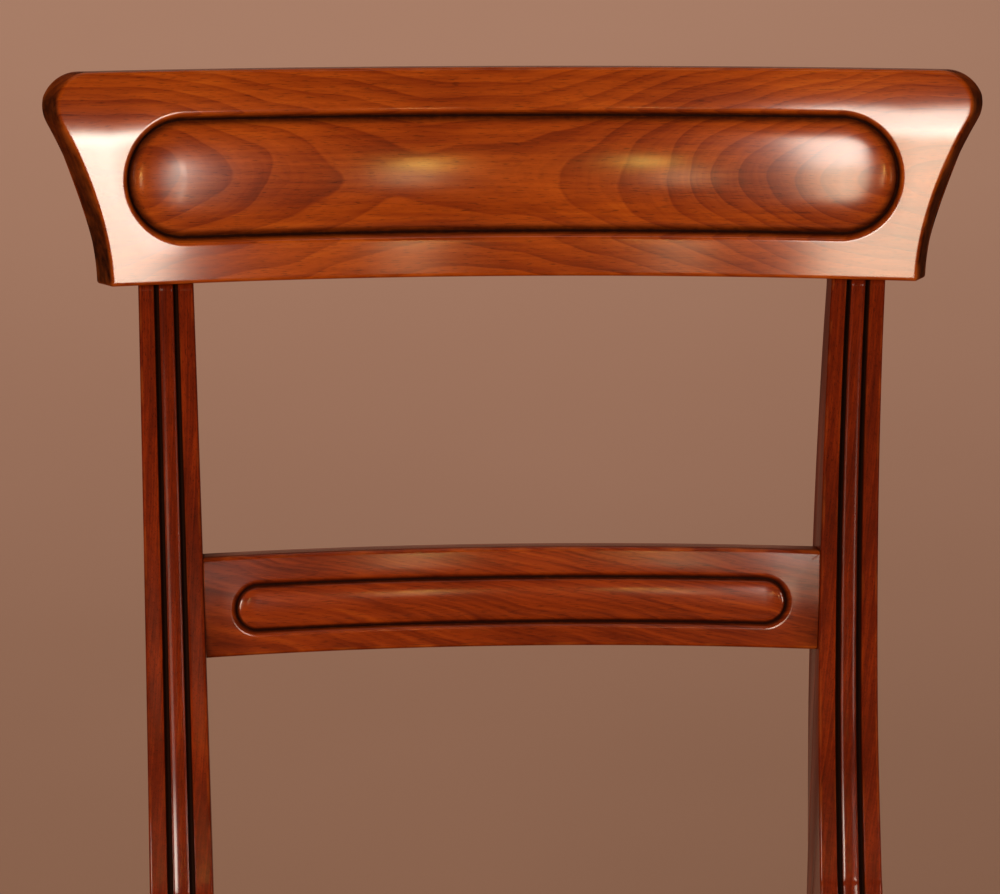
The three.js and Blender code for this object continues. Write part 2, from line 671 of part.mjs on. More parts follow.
function buildFrontLeg(side, name) {
  const turned = floorToRailTop - leg.blockHeight;
  const around = leg.reedCount * 4;
  const reedLiftShares = [1, 0.7, 0, 0.7];
  const rings = legHeightShares.map((heightShare, k) => {
    const ring = [];
    for (let i = 0; i < around; i++) {
      const angle = 2 * Math.PI * i / around;
      const sunk = leg.reedDepth * legReedShares[k] * (1 - reedLiftShares[i % 4]);
      const radius = leg.radiusTop * legRadiusShares[k] - sunk;
      const x = side * legX + radius * Math.cos(angle);
      ring.push(at(x, legY + radius * Math.sin(angle), turned * heightShare));
    }
    return ring;
  });
  rings[0].forEach((p) => { p.z += edgeSoftening; });
  const cap = capOf(rings[0].map((p) => new THREE.Vector2(p.x, p.y)));
  const block = softBlock(at(side * legX, legY, 0), leg.block / 2, turned, floorToRailTop);
  let piece = solidOf(skin(rings, cap, cap)).add(block);
  piece = piece.subtract(mortise(frontRailTenon(side))).subtract(mortise(sideFrontTenon(side)));
  addPiece(`${name}_front_leg`, piece, frameWood);
}

// Heights of the drop-in seat, from its bearers up
const underRail = seat.barThickness + seat.aboveRail + seat.coverThickness + 2 * jointGap;
const coverBottom = floorToRailTop - underRail;
const barBottom = coverBottom + seat.coverThickness + jointGap;
const barTop = barBottom + seat.barThickness;
const webLevel = barTop + jointGap + seat.webThickness / 2;
const hessianBottom = webLevel + seat.webWave + seat.webThickness / 2 + jointGap;
const padBottom = hessianBottom + seat.clothThickness + jointGap;
const bearerTop = coverBottom - jointGap;
const seatFrontY = frontRailBackY + seat.edgeGap;
const seatBackY = backRailFrontY - seat.edgeGap;
const seatMiddleY = (seatFrontY + seatBackY) / 2;

// Corners of the seat's plan on the right side, from the back to the front
function seatCorners() {
  return [
    [kneeInner - seat.edgeGap, seatBackY],
    [kneeInner - seat.edgeGap, kneeEndY],
    [railInner(seatFrontY) - seat.edgeGap - seat.edgeGap / 2, seatFrontY],
  ];
}

// The whole plan, counterclockwise from the back right, moved inward by an inset
function seatPlanAt(inset) {
  const right = seatCorners().map(([x, y]) => new THREE.Vector2(x, y));
  const left = seatCorners().map(([x, y]) => new THREE.Vector2(-x, y)).reverse();
  const corners = [...right, ...left];
  const count = corners.length;
  const edge = (i) => {
    const a = corners[i % count];
    const b = corners[(i + 1) % count];
    const along = b.clone().sub(a).normalize();
    const inward = new THREE.Vector2(along.y, -along.x);
    return { from: a.clone().addScaledVector(inward, inset), along };
  };
  return corners.map((_, i) => {
    const one = edge((i + count - 1) % count);
    const two = edge(i);
    const apart = two.from.clone().sub(one.from);
    const cross = one.along.x * two.along.y - one.along.y * two.along.x;
    const run = (apart.x * two.along.y - apart.y * two.along.x) / cross;
    return one.from.clone().addScaledVector(one.along, run);
  });
}

// The plan as a loop with the same number of points at every inset, its corners rounded
// about the same centres as the cover's
function planLoop(inset, z, steps) {
  const corners = seatPlanAt(inset);
  const count = corners.length;
  const radius = Math.max(seat.cornerRadius - inset, edgeSoftening);
  const toward = (from, to) => to.clone().sub(from).normalize();
  const rounded = corners.map((p, i) => {
    const before = toward(p, corners[(i + count - 1) % count]);
    const after = toward(p, corners[(i + 1) % count]);
    const reach = radius / Math.tan(Math.acos(before.dot(after)) / 2);
    const start = p.clone().addScaledVector(before, reach);
    const end = p.clone().addScaledVector(after, reach);
    const arc = new THREE.QuadraticBezierCurve(start, p, end);
    return arc.getPoints(cornerSteps);
  });
  const loop = [];
  rounded.forEach((arc, i) => {
    const from = arc[cornerSteps];
    const to = rounded[(i + 1) % count][0];
    arc.forEach((p) => loop.push(at(p.x, p.y, z)));
    for (let k = 1; k < steps[i]; k++) {
      const p = from.clone().lerp(to, k / steps[i]);
      loop.push(at(p.x, p.y, z));
    }
  });
  return loop;
}

// A crowned block on the seat's plan: a flat underside, sides that pull in above the
// seat frame and a dome that is level in the middle. The dome's height at a share of the
// way out is its rise times one less a power of the share.
function crownedBlock(inset, bottom, edgeTop, crownTop) {
  const upperInset = inset + seat.sideDrawnIn;
  const sized = (share, loopInset, z) => planLoop(loopInset, z, planSteps)
    .map((p) => p.lerp(at(0, seatMiddleY, z), 1 - share));
  const rings = [sized(0, inset, bottom), sized(1, inset, bottom),
    sized(1, inset, padBottom + seat.coverThickness),
    sized(1, upperInset, edgeTop - seat.coverThickness)];
  for (const share of crownSizeShares) {
    rings.push(sized(share, upperInset, edgeTop + (crownTop - edgeTop) * (1 - share ** seat.crownPower)));
  }
  return solidOf(skin(rings, [], []));
}

// A flat slab on the seat's plan
function planSlab(inset, bottom, top) {
  const steps = planSteps.map(() => 1);
  const lower = planLoop(inset, bottom, steps);
  const upper = planLoop(inset, top, steps);
  const toMiddle = (ring) => ring.map((p) => at(0, seatMiddleY, p.z));
  return solidOf(skin([toMiddle(lower), lower, upper, toMiddle(upper)], [], []));
}

const barInset = seat.coverThickness + jointGap;

function buildSeatFrame() {
  const inner = barInset + seat.barWidth;
  const [cutLow, cutHigh] = [barBottom - cutOverrun, barTop + cutOverrun];
  const ring = planSlab(barInset, barBottom, barTop).subtract(planSlab(inner, cutLow, cutHigh));
  const reach = seatPlan.frontFace;
  const innerCorners = seatPlanAt(inner);
  const sideSlab = (side, clearance) => {
    const outline = [innerCorners[0], innerCorners[1], innerCorners[2]]
      .map((p) => new THREE.Vector2(p.x - clearance, p.y));
    outline[0].y = reach;
    outline[2].y = -reach;
    outline.push(new THREE.Vector2(reach, -reach), new THREE.Vector2(reach, reach));
    const rings = [cutLow, cutHigh].map((z) => outline.map((p) => at(side * p.x, p.y, z)));
    const cap = capOf(outline);
    return solidOf(skin(rings, cap, cap));
  };
  const barMiddleZ = (barBottom + barTop) / 2;
  const tenon = (side, isFront, clearance) => {
    const corner = isFront ? innerCorners[2] : innerCorners[0];
    const y = corner.y + (isFront ? -1 : 1) * seat.barWidth / 2;
    return blockAt(at(side * corner.x, y, barMiddleZ),
      at(seat.barTenon, seat.barWidth / 4, seat.barTenonThickness / 2), clearance);
  };
  const bar = (isFront) => {
    const y = isFront ? -reach : seatMiddleY;
    const half = boxSolid(at(-reach, y, cutLow), at(reach, isFront ? seatMiddleY : reach, cutHigh));
    let piece = ring.intersect(half).subtract(sideSlab(-1, jointGap)).subtract(sideSlab(1, jointGap));
    for (const side of [-1, 1]) piece = piece.add(tenon(side, isFront, 0));
    return piece;
  };
  addPiece('seat_frame_front_bar', bar(true), beech);
  addPiece('seat_frame_back_bar', bar(false), beech);
  for (const [side, name] of [[-1, 'left'], [1, 'right']]) {
    const tenons = tenon(side, true, jointGap).add(tenon(side, false, jointGap));
    const piece = ring.intersect(sideSlab(side, 0)).subtract(tenons);
    addPiece(`seat_frame_${name}_bar`, piece, beech);
  }
}

// One strap of webbing, rising and falling over the straps that cross it
function webStrap(centre, halfLength, pitch, sign, turned) {
  const rings = [];
  for (let i = 0; i <= webbing.steps; i++) {
    const run = halfLength * (2 * i / webbing.steps - 1);
    const weaving = Math.abs(run) < pitch * (webbing.across / 2);
    const z = webLevel + (weaving ? sign * seat.webWave * Math.cos(Math.PI * run / pitch) : 0);
    const half = seat.webWidth / 2;
    const thick = seat.webThickness / 2;
    const corners = [[-half, -thick], [half, -thick], [half, thick], [-half, thick]];
    rings.push(corners.map(([u, dz]) => (turned
      ? at(run, centre + u, z + dz) : at(centre + u, seatMiddleY + run, z + dz))));
  }
  const cap = [[0, 1, 2], [0, 2, 3]];
  return solidOf(skin(rings, cap, cap));
}

function buildWebbing() {
  const endInset = barInset + seat.barWidth / 4;
  const alongHalf = (seatBackY - seatFrontY) / 2 - endInset;
  for (let i = 0; i < webbing.along; i++) {
    const x = (i - (webbing.along - 1) / 2) * webbing.pitchAcross;
    const strap = webStrap(x, alongHalf, webbing.pitchAlong, i % 2 ? -1 : 1, false);
    addPiece(`webbing_lengthwise_${i + 1}`, strap, jute);
  }
  for (let i = 0; i < webbing.across; i++) {
    const y = seatMiddleY + (i - (webbing.across - 1) / 2) * webbing.pitchAlong;
    const halfLength = railInner(y - seat.webWidth / 2) - seat.edgeGap - endInset - seat.webThickness;
    const strap = webStrap(y, halfLength, webbing.pitchAcross, i % 2 ? 1 : -1, true);
    addPiece(`webbing_crosswise_${i + 1}`, strap, jute);
  }
}

const edgeTop = padBottom + seat.padHeight / 3;
const crownTop = padBottom + seat.padHeight;

function buildUpholstery() {
  const clothInset = barInset + jointGap;
  addPiece('hessian', planSlab(clothInset, hessianBottom, hessianBottom + seat.clothThickness), jute);
  addPiece('stuffing_pad', crownedBlock(clothInset, padBottom, edgeTop, crownTop), hair);
  const lift = seat.coverThickness + jointGap;
  const outside = crownedBlock(0, coverBottom, edgeTop + lift, crownTop + lift);
  const insideBottom = coverBottom + seat.coverThickness;
  const inside = crownedBlock(seat.coverThickness, insideBottom, edgeTop + jointGap, crownTop + jointGap);
  const opening = planSlab(seat.tuckWidth, coverBottom - cutOverrun, barTop);
  addPiece('seat_cover', outside.subtract(inside).subtract(opening), leather);
  const dustTop = barBottom - jointGap;
  const dustInset = seat.tuckWidth + seat.edgeGap;
  addPiece('dust_cover', planSlab(dustInset, dustTop - seat.clothThickness, dustTop), blackCloth);
}

// A wood screw with its head at a point, driven along a flat direction. A clearance and a
// run above the head turn the same outline into its hole.
function screwSolid({ point, direction }, clearance, above) {
  const shank = corner.screwRadius + clearance;
  const head = corner.screwHead + clearance;
  const profile = [
    new THREE.Vector2(0, -corner.screwLength - clearance),
    new THREE.Vector2(shank, corner.screwRadius - corner.screwLength),
    new THREE.Vector2(shank, -corner.screwHeadHeight - clearance),
    new THREE.Vector2(head, -clearance),
    new THREE.Vector2(head, above),
    new THREE.Vector2(0, above),
  ];
  const geometry = facingOut(joined(new THREE.LatheGeometry(profile, corner.screwSides)));
  geometry.applyQuaternion(new THREE.Quaternion().setFromUnitVectors(at(0, -1, 0), direction));
  geometry.translate(point.x, point.y, point.z);
  return solidOf(geometry);
}

// A corner block's plan on the right side, and where its two screws sit
function cornerPlan(side, isFront) {
  const x = isFront ? blockInner - jointGap : kneeInner - 2 * jointGap;
  const face = isFront ? frontRailBackY + jointGap : backRailFrontY - jointGap;
  const endY = face + corner.leg;
  const plan = isFront
    ? [[x - corner.leg, face], [x, face], [railInner(endY) - jointGap, endY]]
    : [[x - corner.leg, face], [x, face], [x, face - corner.leg]];
  const z = bearerTop - corner.height / 2;
  const start = plan[0];
  const end = plan[plan.length - 1];
  const sunk = corner.screwHead * 2;
  const along = (share) => [start[0] + (end[0] - start[0]) * share, start[1] + (end[1] - start[1]) * share];
  const [x1, y1] = along(screwPlaceShares[0]);
  const [x2, y2] = along(screwPlaceShares[1]);
  const ahead = isFront ? -1 : 1;
  return {
    plan,
    screws: [
      { point: at(side * x1, y1 + ahead * sunk, z), direction: at(0, ahead, 0) },
      { point: at(side * (x2 + sunk), y2, z), direction: at(side, 0, 0) },
    ],
  };
}

// Corner blocks glued and screwed into the four corners of the seat rails. Returns the
// screws' holes by the rail that each one enters.
function buildCorners() {
  const holes = { front: [], back: [], left: [], right: [], leftUpright: [], rightUpright: [] };
  for (const [side, hand] of [[-1, 'left'], [1, 'right']]) {
    for (const isFront of [true, false]) {
      const end = isFront ? 'front' : 'back';
      const { plan, screws } = cornerPlan(side, isFront);
      const level = (z) => plan.map(([x, y]) => at(side * x, y, z));
      const rings = [level(bearerTop - corner.height), level(bearerTop)];
      const cap = capOf(plan.map(([x, y]) => new THREE.Vector2(x, y)));
      let block = solidOf(skin(rings, cap, cap));
      screws.forEach((screw, i) => {
        const hole = screwSolid(screw, jointGap, cutOverrun / 2);
        block = block.subtract(hole);
        const into = i === 0 ? end : isFront ? hand : `${hand}Upright`;
        holes[into].push(hole);
        addPiece(`${hand}_${end}_block_screw_${i + 1}`, screwSolid(screw, 0, 0), steel);
      });
      addPiece(`${hand}_${end}_corner_block`, block, beech);
    }
  }
  return holes;
}

// Bearer strips inside the seat rails, which the drop-in seat rests on
function buildBearers() {
  const low = bearerTop - seat.bearerHeight;
  const clear = corner.leg + 2 * jointGap;
  const frontHalf = blockInner - clear;
  const frontY = frontRailBackY + jointGap;
  const frontHigh = at(frontHalf, frontY + seat.bearerWidth, bearerTop);
  addPiece('front_bearer', boxSolid(at(-frontHalf, frontY, low), frontHigh), beech);
  const backHalf = kneeInner - clear;
  const backY = backRailFrontY - jointGap;
  const backLow = at(-backHalf, backY - seat.bearerWidth, low);
  addPiece('back_bearer', boxSolid(backLow, at(backHalf, backY, bearerTop)), beech);
  const startY = kneeEndY - jointGap;
  const endY = blockBackY + corner.leg;
  for (const [side, hand] of [[-1, 'left'], [1, 'right']]) {
    const ring = (y) => {
      const outer = railInner(y) - jointGap;
      const inner = outer - seat.bearerWidth;
      return [[inner, low], [outer, low], [outer, bearerTop], [inner, bearerTop]]
        .map(([x, z]) => at(side * x, y, z));
    };
    const cap = [[0, 1, 2], [0, 2, 3]];
    addPiece(`${hand}_bearer`, solidOf(skin([ring(endY), ring(startY)], cap, cap)), beech);
  }
}

buildBack();
const screwHoles = buildCorners();
buildUpright(-1, 'left', screwHoles.leftUpright);
buildUpright(1, 'right', screwHoles.rightUpright);
buildSideRail(-1, 'left', screwHoles.left);
buildSideRail(1, 'right', screwHoles.right);
buildCrossRails(screwHoles.front, screwHoles.back);
buildFrontLeg(-1, 'left');
buildFrontLeg(1, 'right');
buildBearers();
buildSeatFrame();
buildWebbing();
buildUpholstery();

// The origin is on the floor under the middle of the chair's box
const box = new THREE.Box3().setFromObject(chair);
chair.position.y = -(box.min.y + box.max.y) / 2;

export default chair;
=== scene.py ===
# Dining chair of about 1835 in French polished mahogany: panelled bar back, reeded
# uprights, sabre back legs, turned and reeded front legs and a lift-out leather seat.
# The pieces below are numpy surfaces worked out in millimetres in the chair's own frame
# (x to the viewer's right, y to the back, z up) and scaled to metres when a mesh is made.

import functools
import math

import bmesh
import bpy
import numpy as np
from mathutils import Matrix, Vector


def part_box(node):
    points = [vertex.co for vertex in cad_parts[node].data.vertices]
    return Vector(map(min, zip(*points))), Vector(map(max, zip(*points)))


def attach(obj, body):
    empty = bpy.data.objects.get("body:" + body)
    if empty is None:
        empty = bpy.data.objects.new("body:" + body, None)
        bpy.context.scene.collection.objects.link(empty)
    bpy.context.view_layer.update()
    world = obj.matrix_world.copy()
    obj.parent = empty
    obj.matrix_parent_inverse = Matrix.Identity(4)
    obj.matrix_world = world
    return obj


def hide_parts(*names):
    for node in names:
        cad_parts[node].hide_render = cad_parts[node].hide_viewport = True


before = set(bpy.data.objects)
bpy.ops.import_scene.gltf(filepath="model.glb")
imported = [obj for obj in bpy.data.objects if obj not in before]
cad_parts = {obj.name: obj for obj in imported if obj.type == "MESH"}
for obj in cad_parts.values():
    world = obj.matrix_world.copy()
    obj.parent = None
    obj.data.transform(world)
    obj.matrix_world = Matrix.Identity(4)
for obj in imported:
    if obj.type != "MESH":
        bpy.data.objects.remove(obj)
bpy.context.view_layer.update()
mm = 0.001

# Sizes of the whole chair, those of the solids
railTop = 433.0
railToCrest = 343.0
crestFoot = railTop + railToCrest
frontFace = 500.0
railRecess = 6.0
bendRadius = 528.0
splay = math.tan(math.radians(6))
jointGap = 0.3
shutJoint = 0.05

# Where the chair's own y zero lies in the frame
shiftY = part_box("front_rail")[0][1] / mm + frontFace - railRecess


def addObject(name, data):
    obj = bpy.data.objects.new(name, data)
    bpy.context.scene.collection.objects.link(obj)
    return obj


# The photograph's camera: a long lens looking down on the back from a little to the left,
# turned by the yaw from straight back, raised by the pitch and rolled about its own axis
camera = dict(place=(-161.1, -1874.5, 698.3), yaw=0.0838, pitch=-0.3989, roll=0.0224,
              lens=141.35, sensor=36, farthest=50)


def makeCamera():
    data = bpy.data.cameras.new("photoCamera")
    data.lens = camera["lens"]
    data.sensor_width = camera["sensor"]
    data.clip_end = camera["farthest"]
    cam = addObject("photoCamera", data)
    place = Vector(camera["place"]) + Vector((0, shiftY, crestFoot))
    cam.matrix_world = Matrix.Translation(place * mm) @ Matrix.Rotation(-camera["yaw"], 4, "Z") \
        @ Matrix.Rotation(math.pi / 2 + camera["pitch"], 4, "X") @ Matrix.Rotation(camera["roll"], 4, "Z")
    bpy.context.scene.camera = cam


makeCamera()
print("camera set")


# A mesh from points in millimetres and its faces, moved to the frame's place. If it
# encloses a negative volume, its sides are turned round and its flat ends are left. Each
# point value given becomes a named attribute, a vector one in metres.
def makeMesh(name, points, faces, material, values=None):
    points = points.reshape(-1, 3) + [0, shiftY, 0]
    mesh = bpy.data.meshes.new(name)
    mesh.from_pydata((points * mm).tolist(), [], faces)
    for key, value in (values or {}).items():
        isVector = value.shape[-1] == 3
        layer = mesh.attributes.new(key, "FLOAT_VECTOR" if isVector else "FLOAT", "POINT")
        flat = value.reshape(-1) * (mm if isVector else 1)
        layer.data.foreach_set("vector" if isVector else "value", flat.astype(np.float32))
    mesh.validate()
    solid = bmesh.new()
    solid.from_mesh(mesh)
    if solid.calc_volume(signed=True) < 0:
        sides = [face for face in solid.faces if len(face.verts) < 5]
        bmesh.ops.reverse_faces(solid, faces=sides)
        solid.to_mesh(mesh)
    solid.free()
    mesh.shade_smooth()
    corners = np.empty(len(mesh.polygons), np.int32)
    mesh.polygons.foreach_get("loop_total", corners)
    mesh.polygons.foreach_set("use_smooth", corners < 5)
    mesh.materials.append(material)
    return addObject(name, mesh)


# Numbers or equally long rows of them side by side, as points
def columns(*parts):
    return np.stack(np.broadcast_arrays(*parts), -1)


# Angles over a quarter turn
def quarter(count, start=0.0):
    return np.linspace(start, math.pi / 2, count)


# Insets and drops along a quarter-round edge: e (1 - sin a) and e (1 - cos a)
def roundEdge(edge, count):
    a = quarter(count)
    return edge * (1 - np.sin(a)), edge * (1 - np.cos(a))


# The curve from a to c that leans towards b: (1 - t)^2 a + 2 t (1 - t) b + t^2 c
def cornerCurve(a, b, c, count):
    t = np.linspace(0, 1, count)[:, None]
    return (1 - t) ** 2 * a + 2 * t * (1 - t) * b + t ** 2 * c


def smoothStep(x, low, high):
    t = np.clip((np.asarray(x, float) - low) / (high - low), 0, 1)
    return t * t * (3 - 2 * t)


# Quads between neighbouring closed rings of equal count: quad (r, i) joins points i and
# i + 1 of ring r to those of ring r + 1
def gridFaces(ringCount, count):
    a = np.arange((ringCount - 1) * count).reshape(-1, count)
    b = np.roll(a, -1, 1)
    return columns(a, b, b + count, a + count).reshape(-1, 4).tolist()


# A closed bar over equal rings, with flat ends. Values may be given for one ring or none.
def closedBar(name, points, material, **values):
    size = points.shape[:2]
    values = {key: np.broadcast_to(value, size + np.shape(value)[2:]) for key, value in values.items()}
    ring = np.arange(size[1])
    last = ring + (size[0] - 1) * size[1]
    return makeMesh(name, points, gridFaces(*size) + [ring[::-1].tolist(), last.tolist()], material, values)


# Points and faces of a skin over rings, closed to a point at the last and, if asked, at
# the first one
def domeSurface(rings, firstPole=False):
    rings = np.array(rings, float)
    count = rings.shape[1]
    around = np.arange(count)
    after = np.roll(around, -1)
    pole = rings.shape[0] * count
    points = [rings.reshape(-1, 3), [rings[-1].mean(0)]]
    faces = gridFaces(len(rings), count) + columns(pole - count + around, pole - count + after, pole).tolist()
    if firstPole:
        points.append([rings[0].mean(0)])
        faces += columns(after, around, pole + 1).tolist()
    return np.concatenate(points), faces


# Points at even steps along a polyline, its first one left out
def evenly(path, count):
    path = np.asarray(path, float)
    run = np.concatenate([[0], np.cumsum(np.linalg.norm(np.diff(path, axis=0), axis=1))])
    at = np.linspace(0, run[-1], count + 1)[1:]
    return columns(np.interp(at, run, path[:, 0]), np.interp(at, run, path[:, 1]))


def arcPoints(centre, radius, start, end, count):
    angle = np.linspace(start, end, count)
    return columns(centre[0] + radius * np.cos(angle), centre[1] + radius * np.sin(angle))


# Two lines that meet in a corner, cut back by a distance and joined by a curve that the
# first one ends with
def roundedCorner(before, after, distance):
    corner = before[-1]
    kept = before[np.linalg.norm(before - corner, axis=1) > distance]
    rest = after[np.linalg.norm(after - corner, axis=1) > distance]
    start, end = (corner + (p - corner) * distance / np.linalg.norm(p - corner) for p in (kept[-1], rest[0]))
    return np.concatenate([kept, cornerCurve(start, corner, end, 6)]), rest


# The two rails of the back. Sizes are those of the solids but for finer moats and beads;
# the end darkening is how much darker the sawn ends are, stain with painted shade, and the
# joint darkening how much darker the rail grows towards its joints with the uprights.
crest = dict(height=106.2, thickness=20.5, rake=math.radians(14.6), bottomHalf=207.7, flare=27.0,
             tipRound=6.5, flareHeight=85.0, flarePower=1.8, corner=19.5, lowerCorner=1.8, edge=1.6,
             frontCrown=0.0, crownStart=70.0, crownRadius=130.0, endStainAndShade=0.88, jointDarkening=0.0)
crestPanel = dict(endCentre=167.0, centreHeight=52.5, radius=31.8, moatWidth=3.2, moatDepth=4.4,
                  moatWall=2.0, lip=2.1, lipDrop=1.0, fieldRise=4.0, tipPower=2.9)
mid = dict(height=51.5, thickness=19.0, rake=math.radians(16.1), belowCrest=187.2, forward=46.8,
           frontCrown=1.6, crownStart=51.5, crownRadius=1.0, edge=1.6, endStainAndShade=0.0, jointDarkening=0.38)
midPanel = dict(endCentre=131.5, centreHeight=24.4, radius=13.5, moatWidth=2.5, moatDepth=2.9,
                moatWall=1.5, lip=1.5, lipDrop=0.7, fieldRise=2.7, tipPower=2.5)
endSteps = 48
straightSteps = 110
# Wax left in the moats, darkened further as painted shade where the field turns away and under the lip, wear
# on the edges, and how far the darkening reaches in from the joints
railFinish = dict(fieldEdgeWaxAndShade=0.75, waxFrom=0.86, waxTo=0.99, wallWaxAndShade=0.9, wallWaxAndShadeTop=0.1, lipWaxAndShade=0.2,
                  lipWear=0.25, faceWear=0.1, backWear=0.8, darkeningReach=26.0)


# A flat rail point (s along, v up, w behind the front face) is turned by s / R about an
# upright axis in front of the chair, then leaned back by the rake. Square ends keep one x
# through the thickness, as a shoulder sawn to fit between two posts.
def bentPoints(flat, rake, foot, squareEnds=False):
    s, v, w = flat[..., 0], flat[..., 1], flat[..., 2]
    x = (bendRadius + (0 if squareEnds else w)) * np.sin(s / bendRadius)
    y = np.sqrt((bendRadius + w) ** 2 - x ** 2) - bendRadius
    return columns(x, foot[0] + v * math.sin(rake) + y * math.cos(rake),
                   foot[1] + v * math.cos(rake) - y * math.sin(rake))


def straightRun(panel):
    return np.linspace(-1, 1, straightSteps + 1)[1:-1] * panel["endCentre"]


# A long loop with round ends: quarter circle, straight run, quarter circle over the top
# from left to right, then the same mirrored along the bottom
def stadiumLoop(panel, radius):
    angle = quarter(endSteps, math.pi / 2 / (2 * endSteps - 1))
    ds, dv = radius * np.cos(angle), radius * np.sin(angle)
    run = straightRun(panel)
    s = np.concatenate([-panel["endCentre"] - ds, run, (panel["endCentre"] + ds)[::-1]])
    v = np.concatenate([dv, np.full(len(run), radius), dv[::-1]])
    c = panel["centreHeight"]
    return np.concatenate([columns(s, c + v), columns(s[::-1], c - v[::-1])])


# Half-length of the crest rail at a height: h + flare (v / shoulder) to a power, a hollow
# curve up to the shoulder
def crestHalf(v):
    share = np.maximum(v, 0) / crest["flareHeight"]
    return crest["bottomHalf"] + crest["flare"] * share ** crest["flarePower"]


# The crest rail's right end, from its middle up round the shoulder and in along the top,
# and from its middle down round the lower corner and in along the bottom
def crestEnds():
    top, corner, small = crest["height"], crest["corner"], crest["lowerCorner"]
    shoulder, inner = top - corner, crestPanel["endCentre"]
    rise, fall = (np.linspace(top / 2, level, 40) for level in (shoulder, small))
    arc = arcPoints((crestHalf(shoulder) - corner, shoulder), corner, 0, math.pi / 2, 30)
    side = np.concatenate(roundedCorner(columns(crestHalf(rise), rise), arc, crest["tipRound"]))
    upper = np.concatenate([evenly(side, endSteps - 8), evenly([side[-1], [inner, top]], 8)])
    arc = arcPoints((crest["bottomHalf"] - small, small), small, 0, -math.pi / 2, 7)[:-1]
    side = evenly(columns(crestHalf(fall), fall), endSteps - 16)[:-1]
    return upper, np.concatenate([side, arc, evenly([arc[-1], [inner, 0]], 11)])


# Ends for the mid rail, sawn to three half-lengths at its top, middle and foot, from the
# middle up and down and in to the panel's end
def midEnds(top, half, low):
    middle, part, inner = [half, mid["height"] / 2], endSteps // 2, midPanel["endCentre"]
    return [np.concatenate([evenly([middle, [end, v]], part), evenly([[end, v], [inner, v]], part)])
            for end, v in ((top, mid["height"]), (low, 0))]


# A rail's outline as a loop with as many points as a stadium loop
def outlineLoop(panel, height, upper, lower):
    run, mirror = straightRun(panel), [-1, 1]
    top, low = (np.concatenate([end * mirror, columns(run, level), end[::-1]])
                for end, level in ((upper, height), (lower, 0.0)))
    return np.concatenate([top, low[::-1]])


# Each point of a loop moved inward by a distance along the mitre of its two edges. The
# loop runs clockwise, so inward is to the right of its direction.
def insetLoop(loop, distance):
    normals = []
    for edge in (loop - np.roll(loop, 1, 0), np.roll(loop, -1, 0) - loop):
        length = np.maximum(np.linalg.norm(edge, axis=1, keepdims=True), 1e-9)
        normals.append(columns(edge[:, 1], -edge[:, 0]) / length)
    dot = (normals[0] * normals[1]).sum(1, keepdims=True)
    return loop + distance * (normals[0] + normals[1]) / (1 + dot)


